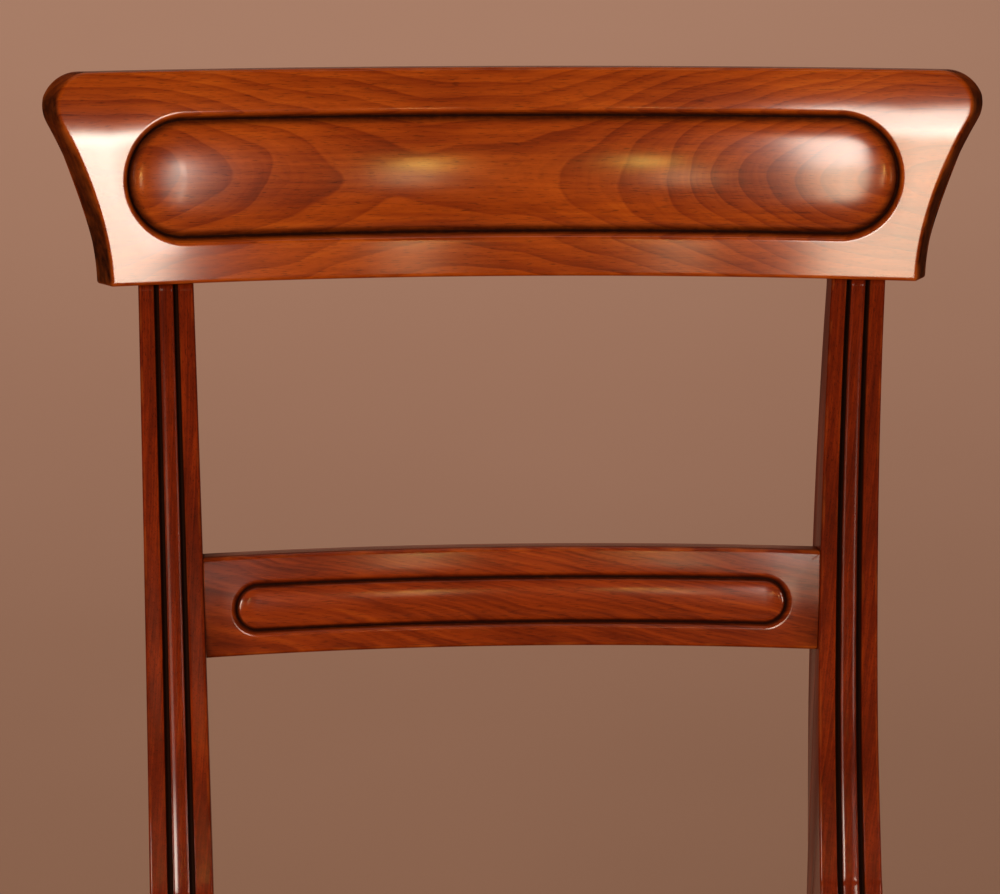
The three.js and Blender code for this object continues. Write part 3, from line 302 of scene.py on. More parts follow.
# A panelled rail as rings from the field's middle line outwards. The field rises inside a
# moat as (1 - share^p)^(1/p), an ellipse (p = 2) across its height and fuller towards its
# tips; the frame's lip and its outer edge are quarter rounds; the back is flat.
def panelledRail(name, size, panel, ends, foot, material, squareEnds=False):
    finish, edge, thickness = railFinish, size["edge"], size["thickness"]
    moat, drop = panel["moatDepth"], panel["lipDrop"]
    fieldRadius = panel["radius"] - panel["moatWidth"]
    outline = outlineLoop(panel, size["height"], *ends)
    rings, wax, wear = [], [], []

    def put(loop, w, waxed=0.0, worn=0.0):
        rings.append(columns(loop[:, 0], loop[:, 1], w))
        wax.append(np.broadcast_to(waxed, len(loop)))
        wear.append(np.full(len(loop), worn))

    # The frame's front falls back evenly to both edges, and rolls back to the top one
    def crown(loop):
        rolled = np.maximum(loop[:, 1] - size["crownStart"], 0) ** 2 / (2 * size["crownRadius"])
        return size["frontCrown"] * (2 * loop[:, 1] / size["height"] - 1) ** 2 + rolled

    # The outline drawn in all round, or only up and down where the ends are sawn square
    def drawnIn(distance):
        if squareEnds:
            return columns(outline[:, 0], np.clip(outline[:, 1], distance, size["height"] - distance))
        return insetLoop(outline, distance)

    for share in np.sin(quarter(20, 0.03)):
        loop = stadiumLoop(panel, fieldRadius * share)
        tip = (np.maximum(np.abs(loop[:, 0]) - panel["endCentre"], 0) / (fieldRadius * share)) ** 2
        power = 2 + (panel["tipPower"] - 2) * tip
        # The field darkens towards its edge, painted shade where it turns away, with some wax
        waxed = finish["fieldEdgeWaxAndShade"] * float(smoothStep(share, finish["waxFrom"], finish["waxTo"]))
        put(loop, moat - panel["fieldRise"] * (1 - min(share, 1) ** power) ** (1 / power), waxed)
    # The moat's floor is dark with wax and painted shade
    floor = stadiumLoop(panel, panel["radius"] - panel["moatWall"])
    put(stadiumLoop(panel, fieldRadius) * 0.6 + floor * 0.4, moat + 0.15, 1)
    put(floor, moat, 1)
    # The moat's outer wall, 0.92 of its height and width and steeper low down, darker towards its foot with
    # wax and painted shade under the lip
    for fall in 1 - np.linspace(0, 1, 7):
        loop = stadiumLoop(panel, panel["radius"] - panel["moatWall"] * fall * 0.92)
        waxed = finish["wallWaxAndShadeTop"] + (finish["wallWaxAndShade"] - finish["wallWaxAndShadeTop"]) * fall
        put(loop, drop + (moat - drop) * fall ** 1.5 * 0.92 + crown(loop), waxed)
    # The lip rounds over, a little darker low down with wax and painted shade
    for angle in quarter(7, 0.2):
        loop = stadiumLoop(panel, panel["radius"] + panel["lip"] * (1 - math.cos(angle)))
        fall = 1 - math.sin(angle)
        put(loop, drop * fall + crown(loop), finish["lipWaxAndShade"] * fall ** 2, finish["lipWear"])
    # The sawn ends are darker, the end grain drinking more stain together with painted shade on
    # faces turned from the light: 0 along the top and bottom, up to the ends' share round the corners
    run = np.roll(outline, -1, 0) - np.roll(outline, 1, 0)
    sides = size["endStainAndShade"] * (run[:, 1] / np.maximum(np.linalg.norm(run, axis=1), 1e-9)) ** 2
    lipLoop = stadiumLoop(panel, panel["radius"] + panel["lip"])
    for share in (0.35, 0.75, 0.97):
        loop = lipLoop + (drawnIn(edge) - lipLoop) * share
        put(loop, crown(loop), 0, finish["faceWear"] * share)
    for angle in quarter(7):
        loop = drawnIn(edge * (1 - math.sin(angle)))
        put(loop, edge * (1 - math.cos(angle)) + crown(loop), sides * math.sin(angle), 1)
    put(outline, thickness * 0.4, sides, 0.15)
    put(outline, thickness * 0.7, sides, 0.1)
    for angle in quarter(6)[::-1]:
        loop = drawnIn(edge * (1 - math.sin(angle)))
        put(loop, thickness - edge * (1 - math.cos(angle)), sides * math.sin(angle), finish["backWear"])
    put(drawnIn(edge * 1.6), thickness)
    flat = np.array(rings)
    ringCount, count = flat.shape[:2]
    # The rail darkens towards its ends, where it meets the uprights
    reach = np.abs(flat[..., 0])
    darkness = size["jointDarkening"] * smoothStep(reach, reach.max() - finish["darkeningReach"], reach.max())
    # The field's middle line and the back are closed by quads from the top to the bottom run
    i = np.arange(count // 2 - 1)
    j = count - 1 - i
    last = (ringCount - 1) * count
    faces = gridFaces(ringCount, count) + columns(j, j - 1, i + 1, i).tolist()
    faces += (last + columns(i, i + 1, j - 1, j)).tolist()
    values = {"board": flat, "wax": np.maximum(np.array(wax), darkness), "wear": np.array(wear)}
    return makeMesh(name, bentPoints(flat, size["rake"], foot, squareEnds), faces, material, values)


# The uprights in one piece with the knees and sabre legs, measured from the crest rail's
# foot. The front edge passes points at shares of the way down and of the reach forwards.
stile = dict(setForward=23.5, reach=222.5, topDepth=16.5, hipDepth=45.0, depthPower=1.1, topOuter=189.3,
             topWidth=27.7, hipWidth=33.0, footWidth=28.0, lean=6.9, kneeRadius=141.0, kneeHeight=56.0,
             kneeStart=math.radians(36), edge=1.3, dull=0.88, dullBetween=(508, 548))
dropShares = np.array([-0.06, 0, 0.114, 0.2855, 0.4569, 0.628, 0.7994])
reachShares = np.array([-0.0125, 0, 0.03, 0.0962, 0.1865, 0.301, 0.4544])
sabre = dict(waistBack=108.0, waistDrop=357.0, frontSetback=155.0, hipRadius=30.0, footBack=22.0,
             footDepth=34.0, footRound=6.0, upperPull=150.0, lowerPull=135.0, footAngle=math.radians(38))
# Parts of the reeding as shares of the face's width, with wax and painted shade where it lies
# deep and wear on the bead's ridges
reeding = dict(grooveDepth=2.9, beadDrop=0.9, grooveCentre=0.327, grooveHalf=0.05, beadHalf=0.123,
               waxBetween=(0.6, 2.4), edgeWear=0.9, ridgeWear=0.6, ridge=0.232, ridgeHalf=0.012)


# Width of an upright across its face, and how far its outer face lies from the middle
def uprightWidth(z):
    above = np.minimum(-z / railToCrest, 1)
    below = np.maximum((-z - railToCrest) / railTop, 0)
    top, hip, foot = stile["topWidth"], stile["hipWidth"], stile["footWidth"]
    return top + (hip - top) * above + (foot - hip) * below


def uprightOuter(z):
    return stile["topOuter"] + stile["lean"] * z / crestFoot


# Points of the knee's arc, where the edge has turned by an angle from upright
def kneePoint(angle):
    return columns(stile["kneeRadius"] * np.cos(angle) - stile["setForward"] - stile["reach"],
                   stile["kneeRadius"] * (1 - np.sin(angle)) - railToCrest)


def stileDepth(drop):
    hipHeight = stile["kneeRadius"] * (1 - math.sin(stile["kneeStart"]))
    share = np.maximum(drop / (railToCrest - hipHeight), 0)
    return stile["topDepth"] + (stile["hipDepth"] - stile["topDepth"]) * share ** stile["depthPower"]


# Cubic curve through the front edge's places down to the knee's arc, along half the step
# between its neighbours at each knot; the last knot gives the direction on the arc
def frontCurve(steps):
    start = stile["kneeStart"]
    knots = columns(-stile["setForward"] - stile["reach"] * reachShares, -dropShares * railToCrest)
    knots = np.concatenate([knots, kneePoint(np.array([start, start + 0.09]))])
    at = np.linspace(0, len(knots) - 2, steps)
    i = np.minimum(at.astype(int), len(knots) - 3)
    t = (at - i)[:, None]
    p0, p1, p2, p3 = (knots[np.clip(i + k, 0, len(knots) - 1)] for k in (-1, 0, 1, 2))
    return 0.5 * (2 * p1 + (p2 - p0) * t + (2 * p0 - 5 * p1 + 4 * p2 - p3) * t ** 2
                  + (3 * p1 - p0 - 3 * p2 + p3) * t ** 3)


# The cubic curve from a to d that is pulled towards b and c
def pulledCurve(a, b, c, d, steps):
    t = np.linspace(0, 1, steps)[:, None]
    a, b, c, d = np.array([a, b, c, d], float)
    return (1 - t) ** 3 * a + 3 * (1 - t) ** 2 * t * b + 3 * (1 - t) * t ** 2 * c + t ** 3 * d


# The side outline of an upright in [y, z], with 1 where the face is reeded: down the
# front edge and the knee, under the knee, down the sabre leg and up the back
def uprightOutline():
    slope = math.tan(crest["rake"])

    # What lies under the crest rail of an edge that runs down, from the point where it
    # meets the plane under the rail
    def cutTop(edge):
        edge = edge[edge[:, 1] <= -edge[:, 0] * slope - jointGap][2:]
        end, step = edge[0], edge[0] - edge[1]
        meet = end + step * (-end[0] * slope - jointGap - end[1]) / (step[1] + step[0] * slope)
        return np.concatenate([[meet], edge])

    front = cutTop(frontCurve(150))
    reeded = np.concatenate([front, kneePoint(np.linspace(stile["kneeStart"], math.pi / 2, 46)[1:])])
    radius, kneeEnd = sabre["hipRadius"], reeded[-1]
    underKnee = -railToCrest - stile["kneeHeight"]
    hip = arcPoints((-sabre["frontSetback"] - radius, underKnee - radius), radius, math.pi / 2, 0, 16)
    corner = [kneeEnd[0], underKnee]
    below = [evenly([kneeEnd, corner], 14), evenly([corner, hip[0]], 10), hip[1:]]
    heel = np.array([sabre["footBack"], -crestFoot])
    toe = heel - [sabre["footDepth"], 0]
    pull = sabre["lowerPull"] * np.array([-math.sin(sabre["footAngle"]), math.cos(sabre["footAngle"])])
    upperPull = [0, sabre["upperPull"]]
    waist = np.array([-sabre["waistBack"], -sabre["waistDrop"]])
    legFront = pulledCurve(hip[-1], hip[-1] - np.multiply(upperPull, 0.7), toe + pull, toe, 70)[1:]
    legFront, foot = roundedCorner(legFront, evenly([toe, heel], 8), sabre["footRound"])
    legBack = pulledCurve(heel, heel + pull, waist - upperPull, waist, 80)[1:]
    foot, legBack = roundedCorner(foot, legBack, sabre["footRound"])
    back = cutTop(front[1:] + columns(stileDepth(-front[1:, 1]), 0))[-2::-1]
    outline = np.concatenate([reeded, *below, legFront, foot, legBack, back])
    return outline, (np.arange(len(outline)) < len(reeded)).astype(float)


# How far the reeded face lies under its lands at a share u of its width: two round-bottomed
# grooves, sqrt(1 - q^3) deep, beside a bead that falls off as an ellipse
def reedDepth(u):
    q = np.abs(u - 0.5)
    groove = np.abs(q - 0.5 + reeding["grooveCentre"]) / reeding["grooveHalf"]
    depth = reeding["grooveDepth"] * np.sqrt(np.clip(1 - groove ** 3, 0, 1))
    bead = reeding["beadDrop"] * (1 - np.sqrt(np.clip(1 - (q / reeding["beadHalf"]) ** 2, 0, 1)))
    return np.where(q < reeding["beadHalf"], np.maximum(depth, bead), depth)


# Stations across a face from its outer to its inner side as rows of the share of the
# width, an inset, a drop under the face and how worn the wood is there, closer together
# at the grooves' walls. The softened edges are quarter rounds.
def acrossFace(edge):
    drop, inset = roundEdge(edge, 6)
    near = columns(0, inset, drop, reeding["edgeWear"] * np.sin(quarter(6)))
    spans = ((0.055, 0.262, 8), (0.266, 0.392, 34), (0.4, 0.5, 9))
    u = np.concatenate([np.linspace(*span) for span in spans])
    u = np.concatenate([u, 1 - u[-2::-1]])
    ridge = (np.abs(u - 0.5) - reeding["ridge"]) / reeding["ridgeHalf"]
    middle = columns(u, 0, 0, reeding["ridgeWear"] * np.exp(-ridge ** 2))
    return np.concatenate([near, middle, near[::-1] * [1, -1, 1, 1] + [1, 0, 0, 0]])


# An upright: its side outline is carried across the face and drawn in along each point's
# normal by the reeding in front and by the softened edges all round; flat sides close it
def uprightMesh(name, side, material):
    outline, reeded = uprightOutline()
    tangent = np.roll(outline, -1, 0) - np.roll(outline, 1, 0)
    last = int(reeded.sum()) - 1
    tangent[0] = outline[1] - outline[0]
    tangent[last] = outline[last] - outline[last - 1]
    tangent /= np.linalg.norm(tangent, axis=1, keepdims=True)
    inward = columns(-tangent[:, 1], tangent[:, 0])
    share, inset, drop, worn = acrossFace(stile["edge"]).T[:, :, None]
    inFace = (share > 0) & (share < 1)
    depth = drop + reedDepth(share) * reeded * inFace
    place = outline + inward * depth[..., None]
    x = uprightOuter(outline[:, 1]) - uprightWidth(outline[:, 1]) * share - inset
    points = columns(side * x, place[..., 0], crestFoot + place[..., 1])
    # Above the knees the polish has gone dull
    dull = stile["dull"] * smoothStep(points[..., 2], *stile["dullBetween"])
    # The grooves are darkened where they lie deep, wax with painted shade
    waxed = smoothStep(depth, *reeding["waxBetween"]) * reeded * inFace
    return closedBar(name, points, material, wax=waxed, wear=worn * np.where(inFace, reeded, 1), dull=dull)


# The seat rails and the places that they and the legs share with the uprights
rails = dict(height=56.0, frontThickness=26.0, backThickness=24.0, edge=1.4, edgeWear=0.7, lowWear=0.8)
leg = dict(block=38.0, blockHeight=70.0, reedCount=10, reedDepth=1.7, reedSteps=18, reedsFrom=(62, 68),
           reedsTo=(284, 292), beadWear=0.3, beadRadius=17.7, edge=1.2, lowWear=0.7, topWear=0.9)
kneeEndY = -stile["setForward"] - stile["reach"]
kneeOuter = uprightOuter(-railToCrest)
kneeInner = kneeOuter - stile["hipWidth"]
railBottom = railTop - rails["height"]
blockBackY = -frontFace + leg["block"]
blockInner = kneeInner + splay * (kneeEndY - blockBackY)
frontRailBackY = -frontFace + railRecess + rails["frontThickness"]
backRailFrontY = -sabre["waistBack"] - railRecess / 2 - rails["backThickness"]


def railInner(y):
    return kneeInner + splay * max(kneeEndY - y, 0)


# A side rail: the knee's reeded section carried forward and outward to the leg block
def sideRailMesh(name, side, material):
    width, height, edge = stile["hipWidth"], rails["height"], rails["edge"]
    share, inset, drop, worn = acrossFace(stile["edge"]).T
    drop = drop + reedDepth(share) * (share > 0) * (share < 1)
    near, far = roundEdge(edge, 5)
    lowWear = rails["lowWear"] * np.sin(2 * quarter(5))
    section = [columns(width * share + inset, drop, worn), columns(width - far, height - near, lowWear),
               columns(near, height - far, lowWear)]
    across, down, worn = np.concatenate(section).T
    # The grooves are darkened where they lie deep, wax with painted shade
    waxed = smoothStep(down, *reeding["waxBetween"]) * (down < height / 2)
    y = np.linspace(kneeEndY - jointGap, blockBackY + jointGap, 24)[:, None]
    points = columns(side * (kneeOuter + splay * (kneeEndY - y) - across), y, railTop - down)
    return closedBar(name, points, material, wax=waxed, wear=worn)


# A straight rail between two blocks, its four long edges rounded by the given radii from
# the lower back round over the top to the lower front
def straightRail(name, half, frontY, backY, radii, material):
    corners = [(backY, -1, railBottom, 1, 1.5), (backY, -1, railTop, -1, 0),
               (frontY, 1, railTop, -1, 0.5), (frontY, 1, railBottom, 1, 1)]
    section = [arcPoints((y + inY * r, z + inZ * r), r, math.pi * turn, math.pi * (turn + 0.5), 8)
               for (y, inY, z, inZ, turn), r in zip(corners, radii)]
    y, z = np.concatenate(section).T
    points = columns(np.linspace(-half, half, 40)[:, None], y, z)
    return closedBar(name, points, material, wear=np.tile([0.2] + [rails["edgeWear"]] * 6 + [0.2], 4))


# The turned part of a front leg from the floor up: height, radius and how far the profile
# bulges out as a bead, or is drawn in as a cove, up to the next row
legProfile = [
    (0, 9.0, 2.6), (21.5, 11.0, -0.8), (36.5, 10.4, 0), (38, 12.2, 1.3), (49.5, 12.2, 0), (51, 10.9, -0.4),
    (61.7, 12.2, 0), (181.5, 15.5, 0), (290, 17.6, 0.3), (303, 15.4, -0.6), (312, 15.1, 0), (313, 17.6, 2.5),
    (335, 17.6, 0), (336.5, 15.1, -0.5), (345, 15.1, 0), (347, 17.8, 1.2), (359, 17.8, 0), (361, 18.4, 0),
    (364.2, 18.4, 0),
]


# Heights and radii along the profile: a bead or cove adds depth sqrt(1 - q^2)
def legCurve():
    curve = []
    for (z1, r1, bulge), (z2, r2, _) in zip(legProfile, legProfile[1:]):
        steps = max(int((z2 - z1) / 1.2), 4) if bulge or z2 - z1 < 20 else 24
        t = np.arange(steps) / steps
        curve.append(columns(z1 + (z2 - z1) * t, r1 + (r2 - r1) * t + bulge * np.sqrt(1 - (2 * t - 1) ** 2)))
    return np.concatenate(curve + [[legProfile[-1][:2]]]).T[..., None]


# The reeds are half ellipses between sharp grooves, sunk d (1 - sqrt(1 - q^2)), that run
# out in round ends at both ends of the shaft
def frontLegMesh(name, side, material):
    heights, radii = legCurve()
    around = leg["reedCount"] * leg["reedSteps"]
    share = np.arange(around) / around
    q = 2 * (share * leg["reedCount"] % 1) - 1
    sunk = 1 - np.sqrt(1 - 0.97 * q ** 2)
    full = smoothStep(heights, *leg["reedsFrom"]) * (1 - smoothStep(heights, *leg["reedsTo"]))
    radius = radii - leg["reedDepth"] * sunk * full
    x, y = side * (blockInner + leg["block"] / 2), leg["block"] / 2 - frontFace
    angle = 2 * math.pi * share
    points = columns(x + radius * np.cos(angle), y + radius * np.sin(angle), heights)
    # The reeds' grooves are darkened, wax with painted shade
    wax = sunk ** 2 * full
    wear = leg["beadWear"] * (1 - wax) * (radii > leg["beadRadius"])
    turned = closedBar(name, points, material, wax=wax, wear=wear)
    block = legBlock(name + "Block", x, y, material)
    bpy.ops.object.select_all(action="DESELECT")
    for obj in (block, turned):
        obj.select_set(True)
    bpy.context.view_layer.objects.active = turned
    bpy.ops.object.join()
    turned.select_set(False)
    return turned


# The square block over a front leg with all its edges rounded, as stacked rounded squares
def legBlock(name, x, y, material):
    edge, low = leg["edge"], railTop - leg["blockHeight"]
    near, far = roundEdge(edge, 6)
    inset = np.concatenate([[edge * 1.6], near, [0, 0, 0], far, [edge * 1.6]])[:, None]
    shares = np.array([0.25, 0.5, 0.75]) * leg["blockHeight"]
    z = np.concatenate([[low], low + far, low + shares, railTop - near, [railTop]])[:, None]
    worn = np.array([0] + [leg["lowWear"]] * 6 + [0] * 3 + [leg["topWear"]] * 6 + [0])[:, None]
    radius = np.maximum(edge - inset, 0.2)
    reach = leg["block"] / 2 - inset - radius
    angle = np.concatenate([quarter(6) + turn * math.pi / 2 for turn in range(4)])
    points = columns(x + reach * np.repeat([1, -1, -1, 1], 6) + radius * np.cos(angle),
                     y + reach * np.repeat([1, 1, -1, -1], 6) + radius * np.sin(angle), z)
    wear = np.maximum(worn, np.tile([0.1, 0.7, 0.9, 0.9, 0.7, 0.1], 4))
    return closedBar(name, points, material, wax=0.0, wear=wear)


# The drop-in seat's sizes as the solids have them, and its levels from the bearers up
seat = dict(edgeGap=1.6, barWidth=42.0, barThickness=18.0, aboveRail=3.0, padHeight=30.0, cover=1.6,
            webWidth=48.0, webThickness=1.4, webWave=1.5, cloth=0.8, tuck=14.0, pitchAcross=70.0,
            pitchAlong=80.0, crownPower=2.4, cornerRadius=11.0, lumps=0.5)
coverBottom = railTop - seat["barThickness"] - seat["aboveRail"] - seat["cover"] - 2 * jointGap
barTop = coverBottom + seat["cover"] + jointGap + seat["barThickness"]
webLevel = barTop + jointGap + seat["webThickness"] / 2
hessianBottom = webLevel + seat["webWave"] + seat["webThickness"] / 2 + jointGap
padBottom = hessianBottom + seat["cloth"] + jointGap
edgeTop = padBottom + seat["padHeight"] / 3
crownTop = padBottom + seat["padHeight"]
barInset = seat["cover"] + jointGap
seatFrontY = frontRailBackY + seat["edgeGap"]
seatBackY = backRailFrontY - seat["edgeGap"]
seatMiddleY = (seatFrontY + seatBackY) / 2
planSteps, cornerSteps = [26, 52, 76, 52, 26, 76], 9


# The seat's plan moved inward by an inset, its corners rounded by arcs, as a loop with
# the same number of points at every inset, from the back right corner forwards
def seatLoop(inset, radius):
    gap = seat["edgeGap"]
    x, frontX = kneeInner - gap, railInner(seatFrontY) - 1.5 * gap
    right = np.array([(x, seatBackY), (x, kneeEndY), (frontX, seatFrontY)])
    corners = np.concatenate([right, right[::-1] * [-1, 1]])
    along = np.roll(corners, -1, 0) - corners
    along /= np.linalg.norm(along, axis=1, keepdims=True)
    before = np.roll(along, 1, 0)
    corners = insetLoop(corners, inset)
    turn = np.arccos(np.clip((before * along).sum(1, keepdims=True), -1, 1))
    reach = radius * np.tan(turn / 2)
    starts, ends = corners - before * reach, corners + along * reach
    loop = []
    for start, corner, end, after, steps in zip(starts, corners, ends, np.roll(starts, -1, 0), planSteps):
        run = np.linspace(0, 1, steps + 1)[1:-1, None]
        loop += [cornerCurve(start, corner, end, cornerSteps), end + (after - end) * run]
    return np.concatenate(loop)


# A loop of the plan at a height, drawn in to a share of its distance from the middle
def seatRing(loop, z, share=1.0):
    return columns(loop[:, 0] * share, seatMiddleY + (loop[:, 1] - seatMiddleY) * share, z)


# Rings over the crown: share r of the rim's distance from the middle lies at the height
# edge + rise (1 - r^power), so the top is flat in the middle
def crownRings(inset, edge, top, radius, shares):
    rim = seatLoop(inset, radius)
    return [seatRing(rim, edge + (top - edge) * (1 - r ** seat["crownPower"]), r) for r in shares]


# The stuffing: a flat underside, short upright sides and the crown with shallow lumps
def stuffingPad(material):
    inset, radius = barInset + jointGap + 0.4, seat["cornerRadius"]
    rim = seatLoop(inset, radius)
    rings = [seatRing(rim, padBottom + 0.2, share) for share in (0.3, 0.7, 0.97)]
    rings += [seatRing(rim, z) for z in (padBottom + 2, edgeTop - 3.0)]
    shares = [0.995, 0.97, 0.92, 0.84, 0.74, 0.62, 0.48, 0.33, 0.18, 0.06]
    rings = np.array(rings + crownRings(inset, edgeTop - 1.2, crownTop - 1.4, radius, shares))
    x, y, z = np.moveaxis(rings, -1, 0)
    rings[..., 2] += seat["lumps"] * np.sin(x * 0.11 + 1) * np.sin(y * 0.13) * (z > edgeTop)
    return makeMesh("stuffingPadDetail", *domeSurface(rings, True), material)


# The leather cover as one skin: from the tacked edge under the frame out round the bar, up
# the side, over a soft edge and up the crown. Cloth with pressure then draws it tight: the
# part below the rail tops is pinned, the rest may move by the cap at most.
coverCloth = dict(quality=8, mass=0.3, use_pressure=True, uniform_pressure_force=2.2)
coverSettling = dict(frames=16, cap=3.5, pinnedAbove=1.5)


def seatCoverMesh(material):
    radius, lift, bottom, sideTop = seat["cornerRadius"], seat["cover"], coverBottom + 0.1, edgeTop - 3.4
    sideFoot = coverBottom + 2.3
    rows = [(inset, bottom) for inset in (seat["tuck"], 9, 5, 2.6)]
    rows += [(2.4 - 2.2 * math.sin(a), bottom + 2.2 * (1 - math.cos(a))) for a in quarter(4)[1:]]
    rows += [(0.2 + 0.25 * math.sin(math.pi * t), sideFoot + (sideTop - sideFoot) * t)
             for t in (0.2, 0.4, 0.6, 0.8, 1)]
    rows += [(0.2 + 4.0 * (1 - math.cos(a)), sideTop + 4.2 * math.sin(a)) for a in quarter(6)[1:]]
    rings = [seatRing(seatLoop(inset, radius), z) for inset, z in rows]
    shares = [0.955, 0.925, 0.89, 0.85, 0.81, 0.76, 0.71, 0.66, 0.61, 0.56, 0.5, 0.44, 0.38, 0.32, 0.26, 0.2,
              0.14, 0.08, 0.03]
    rings += crownRings(0.2, edgeTop - 0.6 + lift, crownTop - 0.9 + lift, radius, shares)
    obj = makeMesh("seatCoverDetail", *domeSurface(rings), material)
    pinned = obj.vertex_groups.new(name="pinned")
    held = sum(ring[0, 2] < railTop + coverSettling["pinnedAbove"] for ring in rings)
    pinned.add(list(range(held * len(rings[0]))), 1.0, "REPLACE")
    before = vertexArray(obj)
    settle(obj, "pinned")
    obj.vertex_groups.clear()
    move = vertexArray(obj) - before
    length = np.linalg.norm(move, axis=1, keepdims=True)
    move *= np.minimum(1, coverSettling["cap"] * mm / np.maximum(length, 1e-9))
    obj.data.vertices.foreach_set("co", (before + move).reshape(-1))
    obj.data.update()
    # Leather of a thickness on the skin's inner side
    solidify = obj.modifiers.new("thickness", "SOLIDIFY")
    solidify.thickness = seat["cover"] * 0.85 * mm
    solidify.offset = -1
    applyModifiers(obj)
    obj.data.shade_smooth()
    return obj


def vertexArray(obj):
    flat = np.empty(len(obj.data.vertices) * 3)
    obj.data.vertices.foreach_get("co", flat)
    return flat.reshape(-1, 3)


# Runs cloth with pressure on an object and keeps the result in its mesh
def settle(obj, pinGroup):
    cloth = obj.modifiers.new("cloth", "CLOTH")
    for key, value in coverCloth.items():
        setattr(cloth.settings, key, value)
    cloth.settings.vertex_group_mass = pinGroup
    cloth.settings.effector_weights.gravity = 0
    cloth.point_cache.frame_start = 1
    cloth.point_cache.frame_end = coverSettling["frames"]
    for step in range(1, coverSettling["frames"] + 1):
        bpy.context.scene.frame_set(step)
    applyModifiers(obj)
    bpy.context.scene.frame_set(1)


def applyModifiers(obj):
    depsgraph = bpy.context.evaluated_depsgraph_get()
    mesh = bpy.data.meshes.new_from_object(obj.evaluated_get(depsgraph), preserve_all_data_layers=True,
                                           depsgraph=depsgraph)
    old = obj.data
    obj.modifiers.clear()
    obj.data = mesh
    bpy.data.meshes.remove(old)


# A flat cloth on the seat's plan as a closed thin slab that sags s (1 - r^2)^2 in the middle
def planSheet(name, inset, bottom, material, sag=0.0):
    rim = seatLoop(inset, 9)
    shares = (0.02, 0.15, 0.3, 0.45, 0.6, 0.74, 0.86, 0.95, 1)
    lower = np.array([seatRing(rim, bottom - sag * (1 - r ** 2) ** 2, r) for r in shares])
    rings = np.concatenate([lower, lower[::-1] + [0, 0, seat["cloth"]]])
    return makeMesh(name, *domeSurface(rings, True), material)


# One strap of webbing: a thin closed ribbon that rises and falls over the straps that
# cross it, height w cos(pi run / pitch)
def webStrap(name, centre, half, pitch, sign, turned, material):
    run = np.linspace(-half, half, 121)[:, None]
    level = webLevel + sign * seat["webWave"] * np.cos(math.pi * run / pitch) * (np.abs(run) < pitch * 1.5)
    u = np.linspace(-0.5, 0.5, 25) * seat["webWidth"]
    across = np.concatenate([u, u[::-1]])
    z = level + seat["webThickness"] * np.repeat([-0.45, 0.45], len(u))
    plan = (run, centre + across) if turned else (centre + across, seatMiddleY + run)
    return closedBar(name, columns(*plan, z), material, board=columns(run, across, 0))


# Small domed tack heads along the cloth's edge under the seat, as one object
def tackHeads(name, inset, level, material, spacing, radius):
    loop = seatLoop(inset, 8)
    loop = np.concatenate([loop, loop[:1]])
    number = int(np.linalg.norm(np.diff(loop, axis=0), axis=1).sum() / spacing)
    places = evenly(loop, number)
    around, rows = 14, 5
    angle = 2 * math.pi * np.arange(around) / around
    row = np.arange(rows)[:, None] * math.pi / 2
    wide = radius * np.cos(row / rows)
    points, faces = domeSurface(columns(wide * np.cos(angle), wide * np.sin(angle),
                                        -0.45 * radius * np.sin(row / (rows - 1))), True)
    points[-2, 2] = -0.47 * radius
    faces = [[i + k * len(points) for i in face] for k in range(number) for face in faces]
    return makeMesh(name, points + columns(places[:, 0], places[:, 1], level)[:, None], faces, material)


# A colour from its hex text as linear light
def colour(text):
    srgb = np.array([int(text[i:i + 2], 16) for i in (1, 3, 5)]) / 255
    linear = np.where(srgb <= 0.04045, srgb / 12.92, ((srgb + 0.055) / 1.055) ** 2.4)
    return (*linear.tolist(), 1)


# Sets inputs of a node: a socket is linked, a text is a colour, any other is a value
def setInputs(node, inputs):
    for key, value in inputs.items():
        if isinstance(value, bpy.types.NodeSocket):
            node.id_data.links.new(value, node.inputs[key])
        else:
            node.inputs[key].default_value = colour(value) if isinstance(value, str) else value


# Adds a shader node and returns one of its outputs. The kind may be followed by the node's
# operation. Inputs are given in their order, by number or by name; other names are
# settings; stops are places and colours or greys of a colour ramp.
def addNode(tree, kind, *inputs, out=0, numbered=None, stops=(), **named):
    kind, *operation = kind.split()
    node = tree.nodes.new("ShaderNode" + kind)
    if operation:
        node.operation = operation[0]
    for key in [key for key in named if key not in node.inputs]:
        setattr(node, key, named.pop(key))
    setInputs(node, {**dict(enumerate(inputs)), **(numbered or {}), **named})
    for place, value in stops:
        element = node.color_ramp.elements.new(place)
        element.color = colour(value) if isinstance(value, str) else (value, value, value, 1)
    if stops:
        node.color_ramp.elements.remove(node.color_ramp.elements[0])
        node.color_ramp.elements.remove(node.color_ramp.elements[-1])
    return node.outputs[out]


# A new material, its shader and a function that adds nodes to it
def newMaterial(name, **fixed):
    material = bpy.data.materials.new(name)
    material.use_nodes = True
    shader = material.node_tree.nodes["Principled BSDF"]
    setInputs(shader, {key.replace("_", " "): value for key, value in fixed.items()})
    return material, shader, functools.partial(addNode, material.node_tree)
